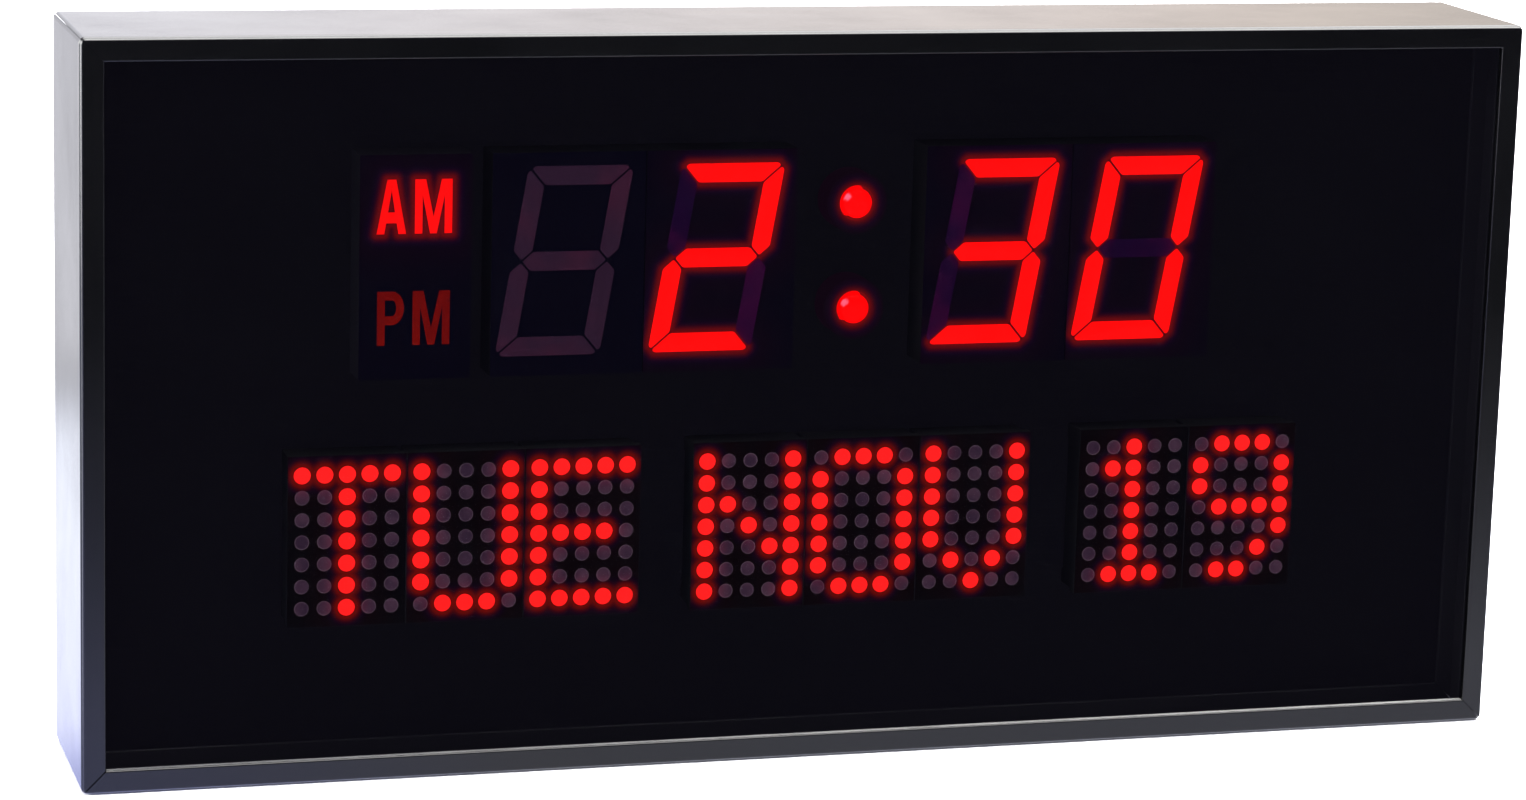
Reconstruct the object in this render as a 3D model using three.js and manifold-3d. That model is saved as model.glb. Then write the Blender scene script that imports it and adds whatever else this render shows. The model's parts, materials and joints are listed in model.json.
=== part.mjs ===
// LED calendar clock for a wall or a shelf: a box frame of four mitred aluminium extrusions round a
// smoked lens, four seven-segment digits with an AM/PM indicator and a colon, eight 5 x 7 dot modules
// for weekday, month and date, and a recessed rear cover with the controls and two fold-down legs.
// Millimetres. +X is to the right of someone who looks at the display, +Y points to the rear, +Z up.
// The origin is in the middle of the footprint, on the shelf.
import * as THREE from "three";
import { mergeVertices } from "three/addons/utils/BufferGeometryUtils.js";
import Module from "manifold-3d";

const wasm = await Module();
wasm.setup();

// Case
const WIDTH = 400;
const HEIGHT = 200;
const DEPTH = 56;
const FRONT = -DEPTH / 2;
const REAR = DEPTH / 2;
const WALL = 1.5;
const CORNER_RADIUS = 1.7;
const REAR_RADIUS = 3;
const REAR_LIP_REACH = 4.5;
const BEZEL = 6;
const BEZEL_THICKNESS = 2.2;
const ARRIS_RADIUS = 0.5;
const GROOVE_WIDTH = 0.8;
const GROOVE_DEPTH = 0.3;
const INNER_CHAMFER = 0.4;
const RIB = 1.3;
const LENS_RIB_REACH = 5;
const BOARD_RIB_REACH = 6;
const LEDGE_REACH = 11;
const LEDGE_THICKNESS = 2;
const MITRE_GAP = 0.1;
const GAP = 0.3;

// Layers from front to rear, as places on Y
const LENS_FRONT = FRONT + BEZEL_THICKNESS + GAP;
const LENS_THICKNESS = 3;
const MODULE_FRONT = -20;
const MODULE_THICKNESS = 12;
const MODULE_REAR = MODULE_FRONT + MODULE_THICKNESS;
const BOARD_THICKNESS = 1.6;
const BOARD_FRONT = MODULE_REAR + GAP;
const BOARD_REAR = BOARD_FRONT + BOARD_THICKNESS;
const COVER_THICKNESS = 2;
const COVER_FRONT = 15;
const COVER_REAR = COVER_FRONT + COVER_THICKNESS;
const CONTROL_BOARD_FRONT = 4.6;
const CONTROL_BOARD_REAR = CONTROL_BOARD_FRONT + BOARD_THICKNESS;

// Seven-segment digits
const DIGIT_WIDTH = 41.6;
const DIGIT_HEIGHT = 60;
const DIGIT_CENTRE_Z = 137.5;
const DIGIT_CENTRES_X = [-69.7, -27.8, 50.4, 92.3];
const GLYPH_WIDTH = 28.6;
const GLYPH_HEIGHT = 51;
const GLYPH_OFFSET_X = -1.1;
const GLYPH_OFFSET_Z = 0.85;
const STROKE = 5.1;
const SLANT = 0.168;
const SEGMENT_GAP = 0.5;
const CORNER_CUT = 1.5;
const WINDOW_CLEARANCE = 0.12;
const SHELL_WALL = 1.5;
const FACE_THICKNESS = 2;
const LIGHT_GUIDE_THICKNESS = 1.5;

// Indicator windows and colon lamps
const INDICATOR_CENTRE_X = -111;
const INDICATOR_WIDTH = 30;
const INDICATOR_WINDOW = [25, 18];
const INDICATOR_WINDOWS_Z = [153.7, 123.9];
const COLON_X = 9.9;
const COLON_HEIGHTS = { upper: 152.6, lower: 123.6 };
const LAMP_RADIUS = 4;

// Dot modules
const MATRIX_WIDTH = 32;
const MATRIX_HEIGHT = 46.75;
const MATRIX_PITCH = 32.15;
const MATRIX_CENTRE_Z = 64.1;
const MATRIX_GROUPS = [
  { centre: -96.5, count: 3 },
  { centre: 14.3, count: 3 },
  { centre: 109.1, count: 2 },
];

// Rear cover and what is on it
const COVER_MARGIN = REAR_LIP_REACH + GAP;
const SCREW_INSET = 8;
const SCREW_SPOTS = [-188, 0, 188];
const SCREW_SHANK_RADIUS = 1.4;
const SCREW_HOLE_RADIUS = 1.75;
const SCREW_HEAD_RADIUS = 2.9;
const SCREW_HEAD_HEIGHT = 1.8;
const KEYHOLES_X = [-120, 120];
const KEYHOLE_Z = 158;
const KEYHOLE_HEAD_RADIUS = 5;
const KEYHOLE_SLOT_WIDTH = 5;
const KEYHOLE_SLOT_RISE = 12;
const KEYHOLE_PAD = { width: 24, low: -11, high: 19, thickness: 0.6 };
const CONTROL_Z = 120;
const BUTTONS_X = { up: -12, down: 12, set: -36, mode: 36 };
const BUTTON_RADIUS = 3.5;
const BUTTON_HOLE_RADIUS = 3.9;
const BUTTON_COLLAR_RADIUS = 5;
const BUTTON_STEM_RADIUS = 2;
const BUTTON_PROUD = 2.2;
const JACK_X = 80;
const JACK_BODY_RADIUS = 5;
const JACK_SOCKET_RADIUS = 3.1;
const CELL_X = -85;
const CELL_RADIUS = 10;
const CELL_THICKNESS = 3.2;
const CELL_OPENING = 23;
const DOOR = { width: 28, height: 27, thickness: 1.5 };
const VENT_COUNT = 12;
const VENT_PITCH = 11;
const VENT_SIZE = [2.5, 24];
const VENT_Z = 172;

// Fold-down legs, hinged low on the rear cover
const LEGS_X = { left: -150, right: 150 };
const LEG_PIVOT_Y = 20.2;
const LEG_PIVOT_Z = 7.8;
const LEG_LENGTH = 60;
const LEG_WIDTH = 14;
const LEG_THICKNESS = 4;
const LEG_BARREL_WIDTH = 8;
const KNUCKLE_RADIUS = 3;
const LUG_THICKNESS = 3;
const PIN_RADIUS = 1;
const PIN_HOLE_RADIUS = 1.06;

const FINE = 24;
const PLAIN = 16;

const finish = (color, roughness, metalness) => ({ color, roughness, metalness });
const ANODISED = finish(0x1b1c20, 0.35, 0.9);
const SMOKED_ACRYLIC = finish(0x0b0b10, 0.05, 0);
const BLACK_PLASTIC = finish(0x121214, 0.6, 0);
const MODULE_BLACK = finish(0x08070a, 0.5, 0);
const RED_DIFFUSER = finish(0xd01010, 0.4, 0);
const BOARD_GREEN = finish(0x1d5a33, 0.5, 0);
const CHIP_BLACK = finish(0x151515, 0.5, 0);
const STEEL = finish(0x9c9ca0, 0.35, 1);
const BUTTON_GREY = finish(0x2c2c30, 0.6, 0);
const CABLE_GREY = finish(0x8a8a8e, 0.6, 0);

const clock = new THREE.Group();

// Solids

function toSolid(geometry) {
  const bare = geometry.index ? geometry.toNonIndexed() : geometry.clone();
  bare.deleteAttribute("normal");
  bare.deleteAttribute("uv");
  const merged = mergeVertices(bare, 1e-4);
  return new wasm.Manifold(
    new wasm.Mesh({
      numProp: 3,
      vertProperties: merged.attributes.position.array,
      triVerts: new Uint32Array(merged.index.array),
    }),
  );
}

function toGeometry(solid) {
  const { vertProperties, triVerts } = solid.getMesh();
  const geometry = new THREE.BufferGeometry();
  geometry.setAttribute("position", new THREE.BufferAttribute(new Float32Array(vertProperties), 3));
  geometry.setIndex(new THREE.BufferAttribute(new Uint32Array(triVerts), 1));
  geometry.computeVertexNormals();
  return geometry;
}

function box([x0, x1], [y0, y1], [z0, z1]) {
  const geometry = new THREE.BoxGeometry(x1 - x0, y1 - y0, z1 - z0);
  geometry.translate((x0 + x1) / 2, (y0 + y1) / 2, (z0 + z1) / 2);
  return toSolid(geometry);
}

// A block around a centre in X and Z, between two places on Y.
function block(x, z, width, height, [y0, y1]) {
  return box([x - width / 2, x + width / 2], [y0, y1], [z - height / 2, z + height / 2]);
}

// A round rod along Y.
function rod(x, z, radius, [y0, y1], sides = FINE) {
  const geometry = new THREE.CylinderGeometry(radius, radius, y1 - y0, sides);
  geometry.translate(x, (y0 + y1) / 2, z);
  return toSolid(geometry);
}

// A round rod along X.
function crossRod(y, z, radius, [x0, x1], sides = PLAIN) {
  const geometry = new THREE.CylinderGeometry(radius, radius, x1 - x0, sides);
  geometry.rotateZ(Math.PI / 2);
  geometry.translate((x0 + x1) / 2, y, z);
  return toSolid(geometry);
}

// An outline of [x, z] points, extruded between two places on Y.
function prism(outline, [y0, y1]) {
  const shape = new THREE.Shape(outline.map(([x, z]) => new THREE.Vector2(x, z)));
  const geometry = new THREE.ExtrudeGeometry(shape, { depth: y1 - y0, bevelEnabled: false });
  geometry.rotateX(Math.PI / 2);
  geometry.translate(0, y1, 0);
  return toSolid(geometry);
}

// An outline of [y, z] points, extruded between two places on X.
function crossExtrusion(outline, [x0, x1]) {
  const shape = new THREE.Shape(outline.map(([y, z]) => new THREE.Vector2(y, z)));
  const geometry = new THREE.ExtrudeGeometry(shape, { depth: x1 - x0, bevelEnabled: false });
  const shapeToCross = new THREE.Matrix4().makeBasis(
    new THREE.Vector3(0, 1, 0),
    new THREE.Vector3(0, 0, 1),
    new THREE.Vector3(1, 0, 0),
  );
  geometry.applyMatrix4(shapeToCross);
  geometry.translate(x0, 0, 0);
  return geometry;
}

const crossPrism = (outline, span) => toSolid(crossExtrusion(outline, span));

const union = (solids) => solids.reduce((all, one) => all.add(one));
const cutAll = (solid, tools) => tools.reduce((left, tool) => left.subtract(tool), solid);

function add(name, solid, look, [x, y, z] = [0, 0, 0], turn = 0) {
  const mesh = new THREE.Mesh(toGeometry(solid), new THREE.MeshStandardMaterial(look));
  mesh.name = name;
  mesh.position.set(x, y, z);
  mesh.rotation.y = turn;
  clock.add(mesh);
}

// Frame

// Points on an arc round [y, z], between two angles in degrees that start at +y and turn to +z.
function arc([y, z], radius, from, to, steps) {
  return Array.from({ length: steps + 1 }, (_, i) => {
    const angle = THREE.MathUtils.degToRad(from + ((to - from) * i) / steps);
    return [y + radius * Math.cos(angle), z + radius * Math.sin(angle)];
  });
}

// The extrusion's section as [y, z] points, with z counted inwards from the outer face. It has a
// rounded rear edge with a return lip, a fine groove along the front edge, and four inner fins.
function frameSection() {
  const bezelBack = FRONT + BEZEL_THICKNESS;
  const lensRib = LENS_FRONT + LENS_THICKNESS + GAP;
  const boardRib = BOARD_FRONT - GAP - RIB;
  const backRib = BOARD_REAR + GAP;
  const ledge = COVER_FRONT - GAP - LEDGE_THICKNESS;
  const fins = [
    [lensRib, lensRib + RIB, LENS_RIB_REACH],
    [boardRib, boardRib + RIB, BOARD_RIB_REACH],
    [backRib, backRib + RIB, BOARD_RIB_REACH],
    [ledge, ledge + LEDGE_THICKNESS, LEDGE_REACH],
  ];
  const innerSide = fins.flatMap(([y0, y1, reach]) => [
    [y0, WALL],
    [y0, reach],
    [y1, reach],
    [y1, WALL],
  ]);
  const rearCentre = [REAR - REAR_RADIUS, REAR_RADIUS];
  const arrisCentre = [FRONT + ARRIS_RADIUS, ARRIS_RADIUS];
  return [
    ...arc(rearCentre, REAR_RADIUS - WALL, -90, 0, 3),
    [REAR - WALL, REAR_LIP_REACH],
    [REAR, REAR_LIP_REACH],
    ...arc(rearCentre, REAR_RADIUS, 0, -90, 5),
    ...arc(arrisCentre, ARRIS_RADIUS, -90, -180, 3),
    [FRONT + GROOVE_DEPTH, ARRIS_RADIUS + GROOVE_WIDTH / 2],
    [FRONT, ARRIS_RADIUS + GROOVE_WIDTH],
    [FRONT, BEZEL - INNER_CHAMFER],
    [FRONT + INNER_CHAMFER, BEZEL],
    [bezelBack, BEZEL],
    [bezelBack, WALL],
    ...innerSide,
  ].reverse();
}

// What lies inside the case's outline, for a member of this length: a block with its two outer
// corners rounded.
function caseOutline(length) {
  const x = length / 2;
  const inner = length / 2;
  const r = CORNER_RADIUS;
  const outline = [
    ...arc([-x + r, r], r, 180, 270, 6),
    ...arc([x - r, r], r, 270, 360, 6),
    [x, inner],
    [-x, inner],
  ];
  return prism(outline, [FRONT - 1, REAR + 1]);
}

// One member along X with its outer face at z = 0 and both ends mitred inwards at 45 degrees.
function frameMember(length, screwSpots) {
  const geometry = crossExtrusion(frameSection(), [-length / 2, length / 2]);
  const place = geometry.attributes.position;
  for (let i = 0; i < place.count; i += 1) {
    const reach = length / 2 - MITRE_GAP - place.getZ(i);
    place.setX(i, Math.sign(place.getX(i)) * reach);
  }
  const holes = screwSpots.map((x) => rod(x, SCREW_INSET, SCREW_HOLE_RADIUS, [0, REAR], PLAIN));
  return cutAll(toSolid(geometry), holes).intersect(caseOutline(length));
}

function addFrame() {
  const long = frameMember(WIDTH, SCREW_SPOTS);
  const short = frameMember(HEIGHT, []);
  add("frame_bottom", long, ANODISED);
  add("frame_top", long, ANODISED, [0, 0, HEIGHT], Math.PI);
  add("frame_left", short, ANODISED, [-WIDTH / 2, 0, HEIGHT / 2], Math.PI / 2);
  add("frame_right", short, ANODISED, [WIDTH / 2, 0, HEIGHT / 2], -Math.PI / 2);
}

// An angle that joins two members inside a corner.
function addCornerKeys() {
  const leg = 30;
  const thickness = 3;
  const inset = WALL + GAP;
  const depth = [-2, 12];
  for (const [sideName, side] of [["left", -1], ["right", 1]]) {
    for (const [levelName, level] of [["lower", 1], ["upper", -1]]) {
      const edge = level > 0 ? 0 : HEIGHT;
      const across = (w) => side * (WIDTH / 2 - w);
      const up = (w) => edge + level * w;
      const outline = [
        [across(inset), up(inset)],
        [across(inset), up(leg)],
        [across(inset + thickness), up(leg)],
        [across(inset + thickness), up(inset + thickness)],
        [across(leg), up(inset + thickness)],
        [across(leg), up(inset)],
      ];
      add(`corner_key_${levelName}_${sideName}`, prism(outline, depth), STEEL);
    }
  }
}

function addLens() {
  const margin = WALL + GAP;
  const face = [LENS_FRONT, LENS_FRONT + LENS_THICKNESS];
  add(
    "front_lens",
    box([-WIDTH / 2 + margin, WIDTH / 2 - margin], face, [margin, HEIGHT - margin]),
    SMOKED_ACRYLIC,
  );
}

// Display

// The seven slanted bars of one digit as [x, z] outlines around the glyph's centre, each moved in
// from its neighbours by half the gap.
function segmentOutlines() {
  const w = GLYPH_WIDTH / 2;
  const h = GLYPH_HEIGHT / 2;
  const t = STROKE;
  const k = CORNER_CUT;
  const c = SEGMENT_GAP / Math.SQRT2;
  const top = [
    [-w + k + c, h],
    [w - k - c, h],
    [w - k / 2 - c, h - k / 2],
    [w - t - c, h - t],
    [-w + t + c, h - t],
    [-w + k / 2 + c, h - k / 2],
  ];
  const upperLeft = [
    [-w, h - k - c],
    [-w + k / 2, h - k / 2 - c],
    [-w + t, h - t - c],
    [-w + t, t / 2 + c],
    [-w + t / 2, c],
    [-w, t / 2 + c],
  ];
  const middle = [
    [-w + t / 2 + c, 0],
    [-w + t + c, t / 2],
    [w - t - c, t / 2],
    [w - t / 2 - c, 0],
    [w - t - c, -t / 2],
    [-w + t + c, -t / 2],
  ];
  const flipX = (outline) => outline.map(([x, z]) => [-x, z]).reverse();
  const flipZ = (outline) => outline.map(([x, z]) => [x, -z]).reverse();
  const upperRight = flipX(upperLeft);
  const bars = [top, upperRight, flipZ(upperRight), flipZ(top), flipZ(upperLeft), upperLeft, middle];
  return bars.map((bar) => bar.map(([x, z]) => [x + z * SLANT, z]));
}

// The same outline grown from its middle, so that a bar sits in its window with a little room.
function grown(outline, room) {
  const shape = new THREE.Box2().setFromPoints(outline.map(([x, z]) => new THREE.Vector2(x, z)));
  const centre = shape.getCenter(new THREE.Vector2());
  const size = shape.getSize(new THREE.Vector2());
  const scaleX = 1 + (2 * room) / size.x;
  const scaleZ = 1 + (2 * room) / size.y;
  return outline.map(([x, z]) => [
    centre.x + (x - centre.x) * scaleX,
    centre.y + (z - centre.y) * scaleZ,
  ]);
}

// A shell that is open to the rear, around x = 0, z = 0.
function openShell(width, height) {
  const outer = block(0, 0, width, height, [MODULE_FRONT, MODULE_REAR]);
  const inner = [width - 2 * SHELL_WALL, height - 2 * SHELL_WALL];
  return outer.subtract(block(0, 0, ...inner, [MODULE_FRONT + FACE_THICKNESS, MODULE_REAR + 1]));
}

// Bars that stand on a slab behind the face and come flush with it.
function lightGuide(width, height, bars) {
  const slabFront = MODULE_FRONT + FACE_THICKNESS + GAP;
  const slab = block(
    0,
    0,
    width - 2 * (SHELL_WALL + GAP),
    height - 2 * (SHELL_WALL + GAP),
    [slabFront, slabFront + LIGHT_GUIDE_THICKNESS],
  );
  const raised = bars.map((bar) => prism(bar, [MODULE_FRONT, slabFront + LIGHT_GUIDE_THICKNESS / 2]));
  return union([slab, ...raised]);
}

function addDigits() {
  const place = ([x, z]) => [x + GLYPH_OFFSET_X, z + GLYPH_OFFSET_Z];
  const bars = segmentOutlines().map((bar) => bar.map(place));
  const windows = bars.map((bar) =>
    prism(grown(bar, WINDOW_CLEARANCE), [MODULE_FRONT - 1, MODULE_FRONT + FACE_THICKNESS + 1]),
  );
  const housing = cutAll(openShell(DIGIT_WIDTH, DIGIT_HEIGHT), windows);
  const segments = lightGuide(DIGIT_WIDTH, DIGIT_HEIGHT, bars);
  DIGIT_CENTRES_X.forEach((x, i) => {
    const spot = [x, 0, DIGIT_CENTRE_Z];
    add(`digit_${i + 1}_housing`, housing, MODULE_BLACK, spot);
    add(`digit_${i + 1}_segments`, segments, RED_DIFFUSER, spot);
  });
}

function addIndicator() {
  const [width, height] = INDICATOR_WINDOW;
  const pane = (z, room) => {
    const x = width / 2 + room;
    const low = z - DIGIT_CENTRE_Z - height / 2 - room;
    const high = z - DIGIT_CENTRE_Z + height / 2 + room;
    return [[-x, low], [x, low], [x, high], [-x, high]];
  };
  const windows = INDICATOR_WINDOWS_Z.map((z) =>
    prism(pane(z, WINDOW_CLEARANCE), [MODULE_FRONT - 1, MODULE_FRONT + FACE_THICKNESS + 1]),
  );
  const housing = cutAll(openShell(INDICATOR_WIDTH, DIGIT_HEIGHT), windows);
  const panes = INDICATOR_WINDOWS_Z.map((z) => pane(z, 0));
  const spot = [INDICATOR_CENTRE_X, 0, DIGIT_CENTRE_Z];
  add("indicator_housing", housing, MODULE_BLACK, spot);
  add("indicator_window", lightGuide(INDICATOR_WIDTH, DIGIT_HEIGHT, panes), RED_DIFFUSER, spot);
}

// A domed lamp that points to the front, turned from its half profile.
function colonLamp() {
  const flange = 0.7;
  const shoulder = MODULE_FRONT + 1 + LAMP_RADIUS;
  const domeSteps = 6;
  const profile = [
    [0, MODULE_REAR],
    [LAMP_RADIUS + flange, MODULE_REAR],
    [LAMP_RADIUS + flange, MODULE_REAR - 1.5],
    [LAMP_RADIUS, MODULE_REAR - 1.5],
  ];
  for (let i = 0; i <= domeSteps; i += 1) {
    const angle = (i / domeSteps) * (Math.PI / 2);
    const radius = i === domeSteps ? 0 : LAMP_RADIUS * Math.cos(angle);
    profile.push([radius, shoulder - LAMP_RADIUS * Math.sin(angle)]);
  }
  const points = profile.reverse().map(([r, y]) => new THREE.Vector2(r, y));
  return toSolid(new THREE.LatheGeometry(points, FINE));
}

function addColon() {
  const lamp = colonLamp();
  for (const [name, z] of Object.entries(COLON_HEIGHTS)) {
    add(`colon_lamp_${name}`, lamp, RED_DIFFUSER, [COLON_X, 0, z]);
  }
}

// A dot module: a face block on a slightly smaller body with a foot at each end.
function dotModule() {
  const step = 0.6;
  const faceDepth = 3;
  const footDepth = 1;
  const footHeight = 4;
  const width = MATRIX_WIDTH - 2 * step;
  const height = MATRIX_HEIGHT - 2 * step;
  const bodyRear = MODULE_REAR - footDepth;
  const footZ = (height - footHeight) / 2;
  return union([
    block(0, 0, MATRIX_WIDTH, MATRIX_HEIGHT, [MODULE_FRONT, MODULE_FRONT + faceDepth]),
    block(0, 0, width, height, [MODULE_FRONT + faceDepth / 2, bodyRear]),
    block(0, footZ, width, footHeight, [bodyRear - 1, MODULE_REAR]),
    block(0, -footZ, width, footHeight, [bodyRear - 1, MODULE_REAR]),
  ]);
}

function addDotModules() {
  const module = dotModule();
  let number = 1;
  for (const { centre, count } of MATRIX_GROUPS) {
    for (let i = 0; i < count; i += 1) {
      const x = centre + (i - (count - 1) / 2) * MATRIX_PITCH;
      add(`matrix_${number}`, module, MODULE_BLACK, [x, 0, MATRIX_CENTRE_Z]);
      number += 1;
    }
  }
}

// Electronics

function addBoards() {
  const margin = WALL + GAP;
  const cornerCut = 2;
  const sideX = WIDTH / 2 - margin;
  const topZ = HEIGHT - margin;
  const face = [BOARD_FRONT, BOARD_REAR];
  const outline = [
    [-sideX + cornerCut, margin],
    [sideX - cornerCut, margin],
    [sideX, margin + cornerCut],
    [sideX, topZ - cornerCut],
    [sideX - cornerCut, topZ],
    [-sideX + cornerCut, topZ],
    [-sideX, topZ - cornerCut],
    [-sideX, margin + cornerCut],
  ];
  add("display_board", prism(outline, face), BOARD_GREEN);
  add("driver_chip", block(-20, 96, 18, 10, [BOARD_REAR + 0.1, BOARD_REAR + 2.6]), CHIP_BLACK);

  const pegHoles = CONTROL_PEGS.map(([x, z]) => rod(x, z, 1.8, [0, 10], PLAIN));
  const plate = block(0, CONTROL_Z, 112, 40, [CONTROL_BOARD_FRONT, CONTROL_BOARD_REAR]);
  add("control_board", cutAll(plate, pegHoles), BOARD_GREEN);
  const chipFace = [CONTROL_BOARD_FRONT - 2.6, CONTROL_BOARD_FRONT - 0.1];
  add("clock_chip", block(24, CONTROL_Z, 14, 14, chipFace), CHIP_BLACK);
  const canFace = [CONTROL_BOARD_FRONT - 3.6, CONTROL_BOARD_FRONT - 0.1];
  add("quartz_crystal", rod(42, CONTROL_Z + 8, 1.6, canFace, PLAIN), STEEL);
  addRibbonCable();
}

// A flat cable from the display board, down and back to the control board.
function addRibbonCable() {
  const thin = 0.8;
  const start = BOARD_REAR + 0.2;
  const end = CONTROL_BOARD_FRONT - 0.2;
  const middle = (start + end) / 2;
  const [high, low] = [CONTROL_Z + 12, CONTROL_Z - 4];
  const outline = [
    [start, high],
    [start, high - thin],
    [middle - thin / 2, high - thin],
    [middle - thin / 2, low - thin],
    [end, low - thin],
    [end, low],
    [middle + thin / 2, low],
    [middle + thin / 2, high],
  ];
  add("ribbon_cable", crossPrism(outline, [-28, -8]), CABLE_GREY);
}

const CONTROL_PEGS = [-52, 52].flatMap((x) => [-16, 16].map((z) => [x, CONTROL_Z + z]));

// Rear cover

function keyholeCut(x, face) {
  return union([
    rod(x, KEYHOLE_Z, KEYHOLE_HEAD_RADIUS, face),
    box(
      [x - KEYHOLE_SLOT_WIDTH / 2, x + KEYHOLE_SLOT_WIDTH / 2],
      face,
      [KEYHOLE_Z, KEYHOLE_Z + KEYHOLE_SLOT_RISE],
    ),
    rod(x, KEYHOLE_Z + KEYHOLE_SLOT_RISE, KEYHOLE_SLOT_WIDTH / 2, face),
  ]);
}

function keyholePad(x) {
  const { width, low, high, thickness } = KEYHOLE_PAD;
  return box(
    [x - width / 2, x + width / 2],
    [COVER_FRONT + 1, COVER_REAR + thickness],
    [KEYHOLE_Z + low, KEYHOLE_Z + high],
  );
}

// Two rails with lips that hold the battery door, and a stop at its inner end.
function doorRails() {
  const z0 = CONTROL_Z - DOOR.height / 2 - GAP;
  const z1 = CONTROL_Z + DOOR.height / 2 + GAP;
  const x0 = CELL_X - DOOR.width / 2;
  const x1 = CELL_X + DOOR.width / 2;
  const web = 1.5;
  const lip = 1.6;
  const root = COVER_REAR - 0.5;
  const lipFront = COVER_REAR + GAP + DOOR.thickness + GAP;
  const lipRear = lipFront + 1.2;
  return [
    box([x0, x1], [root, lipRear], [z0 - web, z0]),
    box([x0, x1], [lipFront, lipRear], [z0 - web, z0 + lip]),
    box([x0, x1], [root, lipRear], [z1, z1 + web]),
    box([x0, x1], [lipFront, lipRear], [z1 - lip, z1 + web]),
    box([x1 + GAP, x1 + GAP + web], [root, lipRear], [z0 - web, z1 + web]),
  ];
}

// Two lugs that carry a leg's pin.
function legLugs(legX) {
  const lugs = [];
  for (const side of [-1, 1]) {
    const inner = legX + side * (LEG_BARREL_WIDTH / 2 + GAP);
    const outer = inner + side * LUG_THICKNESS;
    const span = [Math.min(inner, outer), Math.max(inner, outer)];
    const foot = [LEG_PIVOT_Z - KNUCKLE_RADIUS, LEG_PIVOT_Z + KNUCKLE_RADIUS];
    const lug = box(span, [COVER_REAR - 0.5, LEG_PIVOT_Y], foot).add(
      crossRod(LEG_PIVOT_Y, LEG_PIVOT_Z, KNUCKLE_RADIUS, span),
    );
    const drill = [span[0] - 1, span[1] + 1];
    lugs.push(lug.subtract(crossRod(LEG_PIVOT_Y, LEG_PIVOT_Z, PIN_HOLE_RADIUS, drill)));
  }
  return lugs;
}

// A peg that spaces the control board and passes through it.
function boardPeg([x, z]) {
  return rod(x, z, 3, [CONTROL_BOARD_REAR + 0.1, COVER_FRONT + 0.5], PLAIN).add(
    rod(x, z, 1.4, [CONTROL_BOARD_FRONT - 1, COVER_FRONT], PLAIN),
  );
}

function addRearCover() {
  const sideX = WIDTH / 2 - COVER_MARGIN;
  const topZ = HEIGHT - COVER_MARGIN;
  const through = [COVER_FRONT - 2, COVER_REAR + 2];
  const plate = box([-sideX, sideX], [COVER_FRONT, COVER_REAR], [COVER_MARGIN, topZ]);
  const solid = union([
    plate,
    ...KEYHOLES_X.map(keyholePad),
    ...doorRails(),
    ...Object.values(LEGS_X).flatMap(legLugs),
    ...CONTROL_PEGS.map(boardPeg),
  ]);
  const vents = Array.from({ length: VENT_COUNT }, (_, i) => {
    const x = (i - (VENT_COUNT - 1) / 2) * VENT_PITCH;
    return block(x, VENT_Z, ...VENT_SIZE, through);
  });
  const holes = [
    ...KEYHOLES_X.map((x) => keyholeCut(x, through)),
    ...SCREW_PLACES.map(([x, z]) => rod(x, z, SCREW_HOLE_RADIUS, through, PLAIN)),
    ...Object.values(BUTTONS_X).map((x) => rod(x, CONTROL_Z, BUTTON_HOLE_RADIUS, through)),
    rod(JACK_X, CONTROL_Z, JACK_BODY_RADIUS + GAP, through),
    block(CELL_X, CONTROL_Z, CELL_OPENING, CELL_OPENING, through),
    ...vents,
  ];
  add("rear_cover", cutAll(solid, holes), BLACK_PLASTIC);
}

const SCREW_PLACES = SCREW_SPOTS.flatMap((x) => [
  [x, SCREW_INSET],
  [x, HEIGHT - SCREW_INSET],
]);

function coverScrew() {
  const headFront = COVER_REAR + 0.1;
  const headRear = headFront + SCREW_HEAD_HEIGHT;
  const recess = [headRear - 1, headRear + 1];
  const shank = rod(0, 0, SCREW_SHANK_RADIUS, [COVER_FRONT - 4, headFront + 0.5], PLAIN);
  const body = rod(0, 0, SCREW_HEAD_RADIUS, [headFront, headRear], PLAIN).add(shank);
  return cutAll(body, [block(0, 0, 3.4, 0.8, recess), block(0, 0, 0.8, 3.4, recess)]);
}

function addScrews() {
  const screw = coverScrew();
  SCREW_PLACES.forEach(([x, z], i) => add(`cover_screw_${i + 1}`, screw, STEEL, [x, 0, z]));
}

function addButtons() {
  const collarRear = COVER_FRONT - 0.4;
  const collarFront = collarRear - 1.2;
  const switchRear = CONTROL_BOARD_REAR + 4;
  const plungerRear = switchRear + 1.1;
  const cap = union([
    rod(0, 0, BUTTON_RADIUS, [collarRear - 0.5, COVER_REAR + BUTTON_PROUD]),
    rod(0, 0, BUTTON_COLLAR_RADIUS, [collarFront, collarRear]),
    rod(0, 0, BUTTON_STEM_RADIUS, [plungerRear + 1, collarFront + 0.5], PLAIN),
  ]);
  const tact = block(0, 0, 6, 6, [CONTROL_BOARD_REAR + 0.2, switchRear]).add(
    rod(0, 0, 1.7, [switchRear - 0.5, plungerRear], PLAIN),
  );
  for (const [name, x] of Object.entries(BUTTONS_X)) {
    add(`button_${name}`, cap, BUTTON_GREY, [x, 0, CONTROL_Z]);
    add(`switch_${name}`, tact, CHIP_BLACK, [x, 0, CONTROL_Z]);
  }
}

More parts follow.
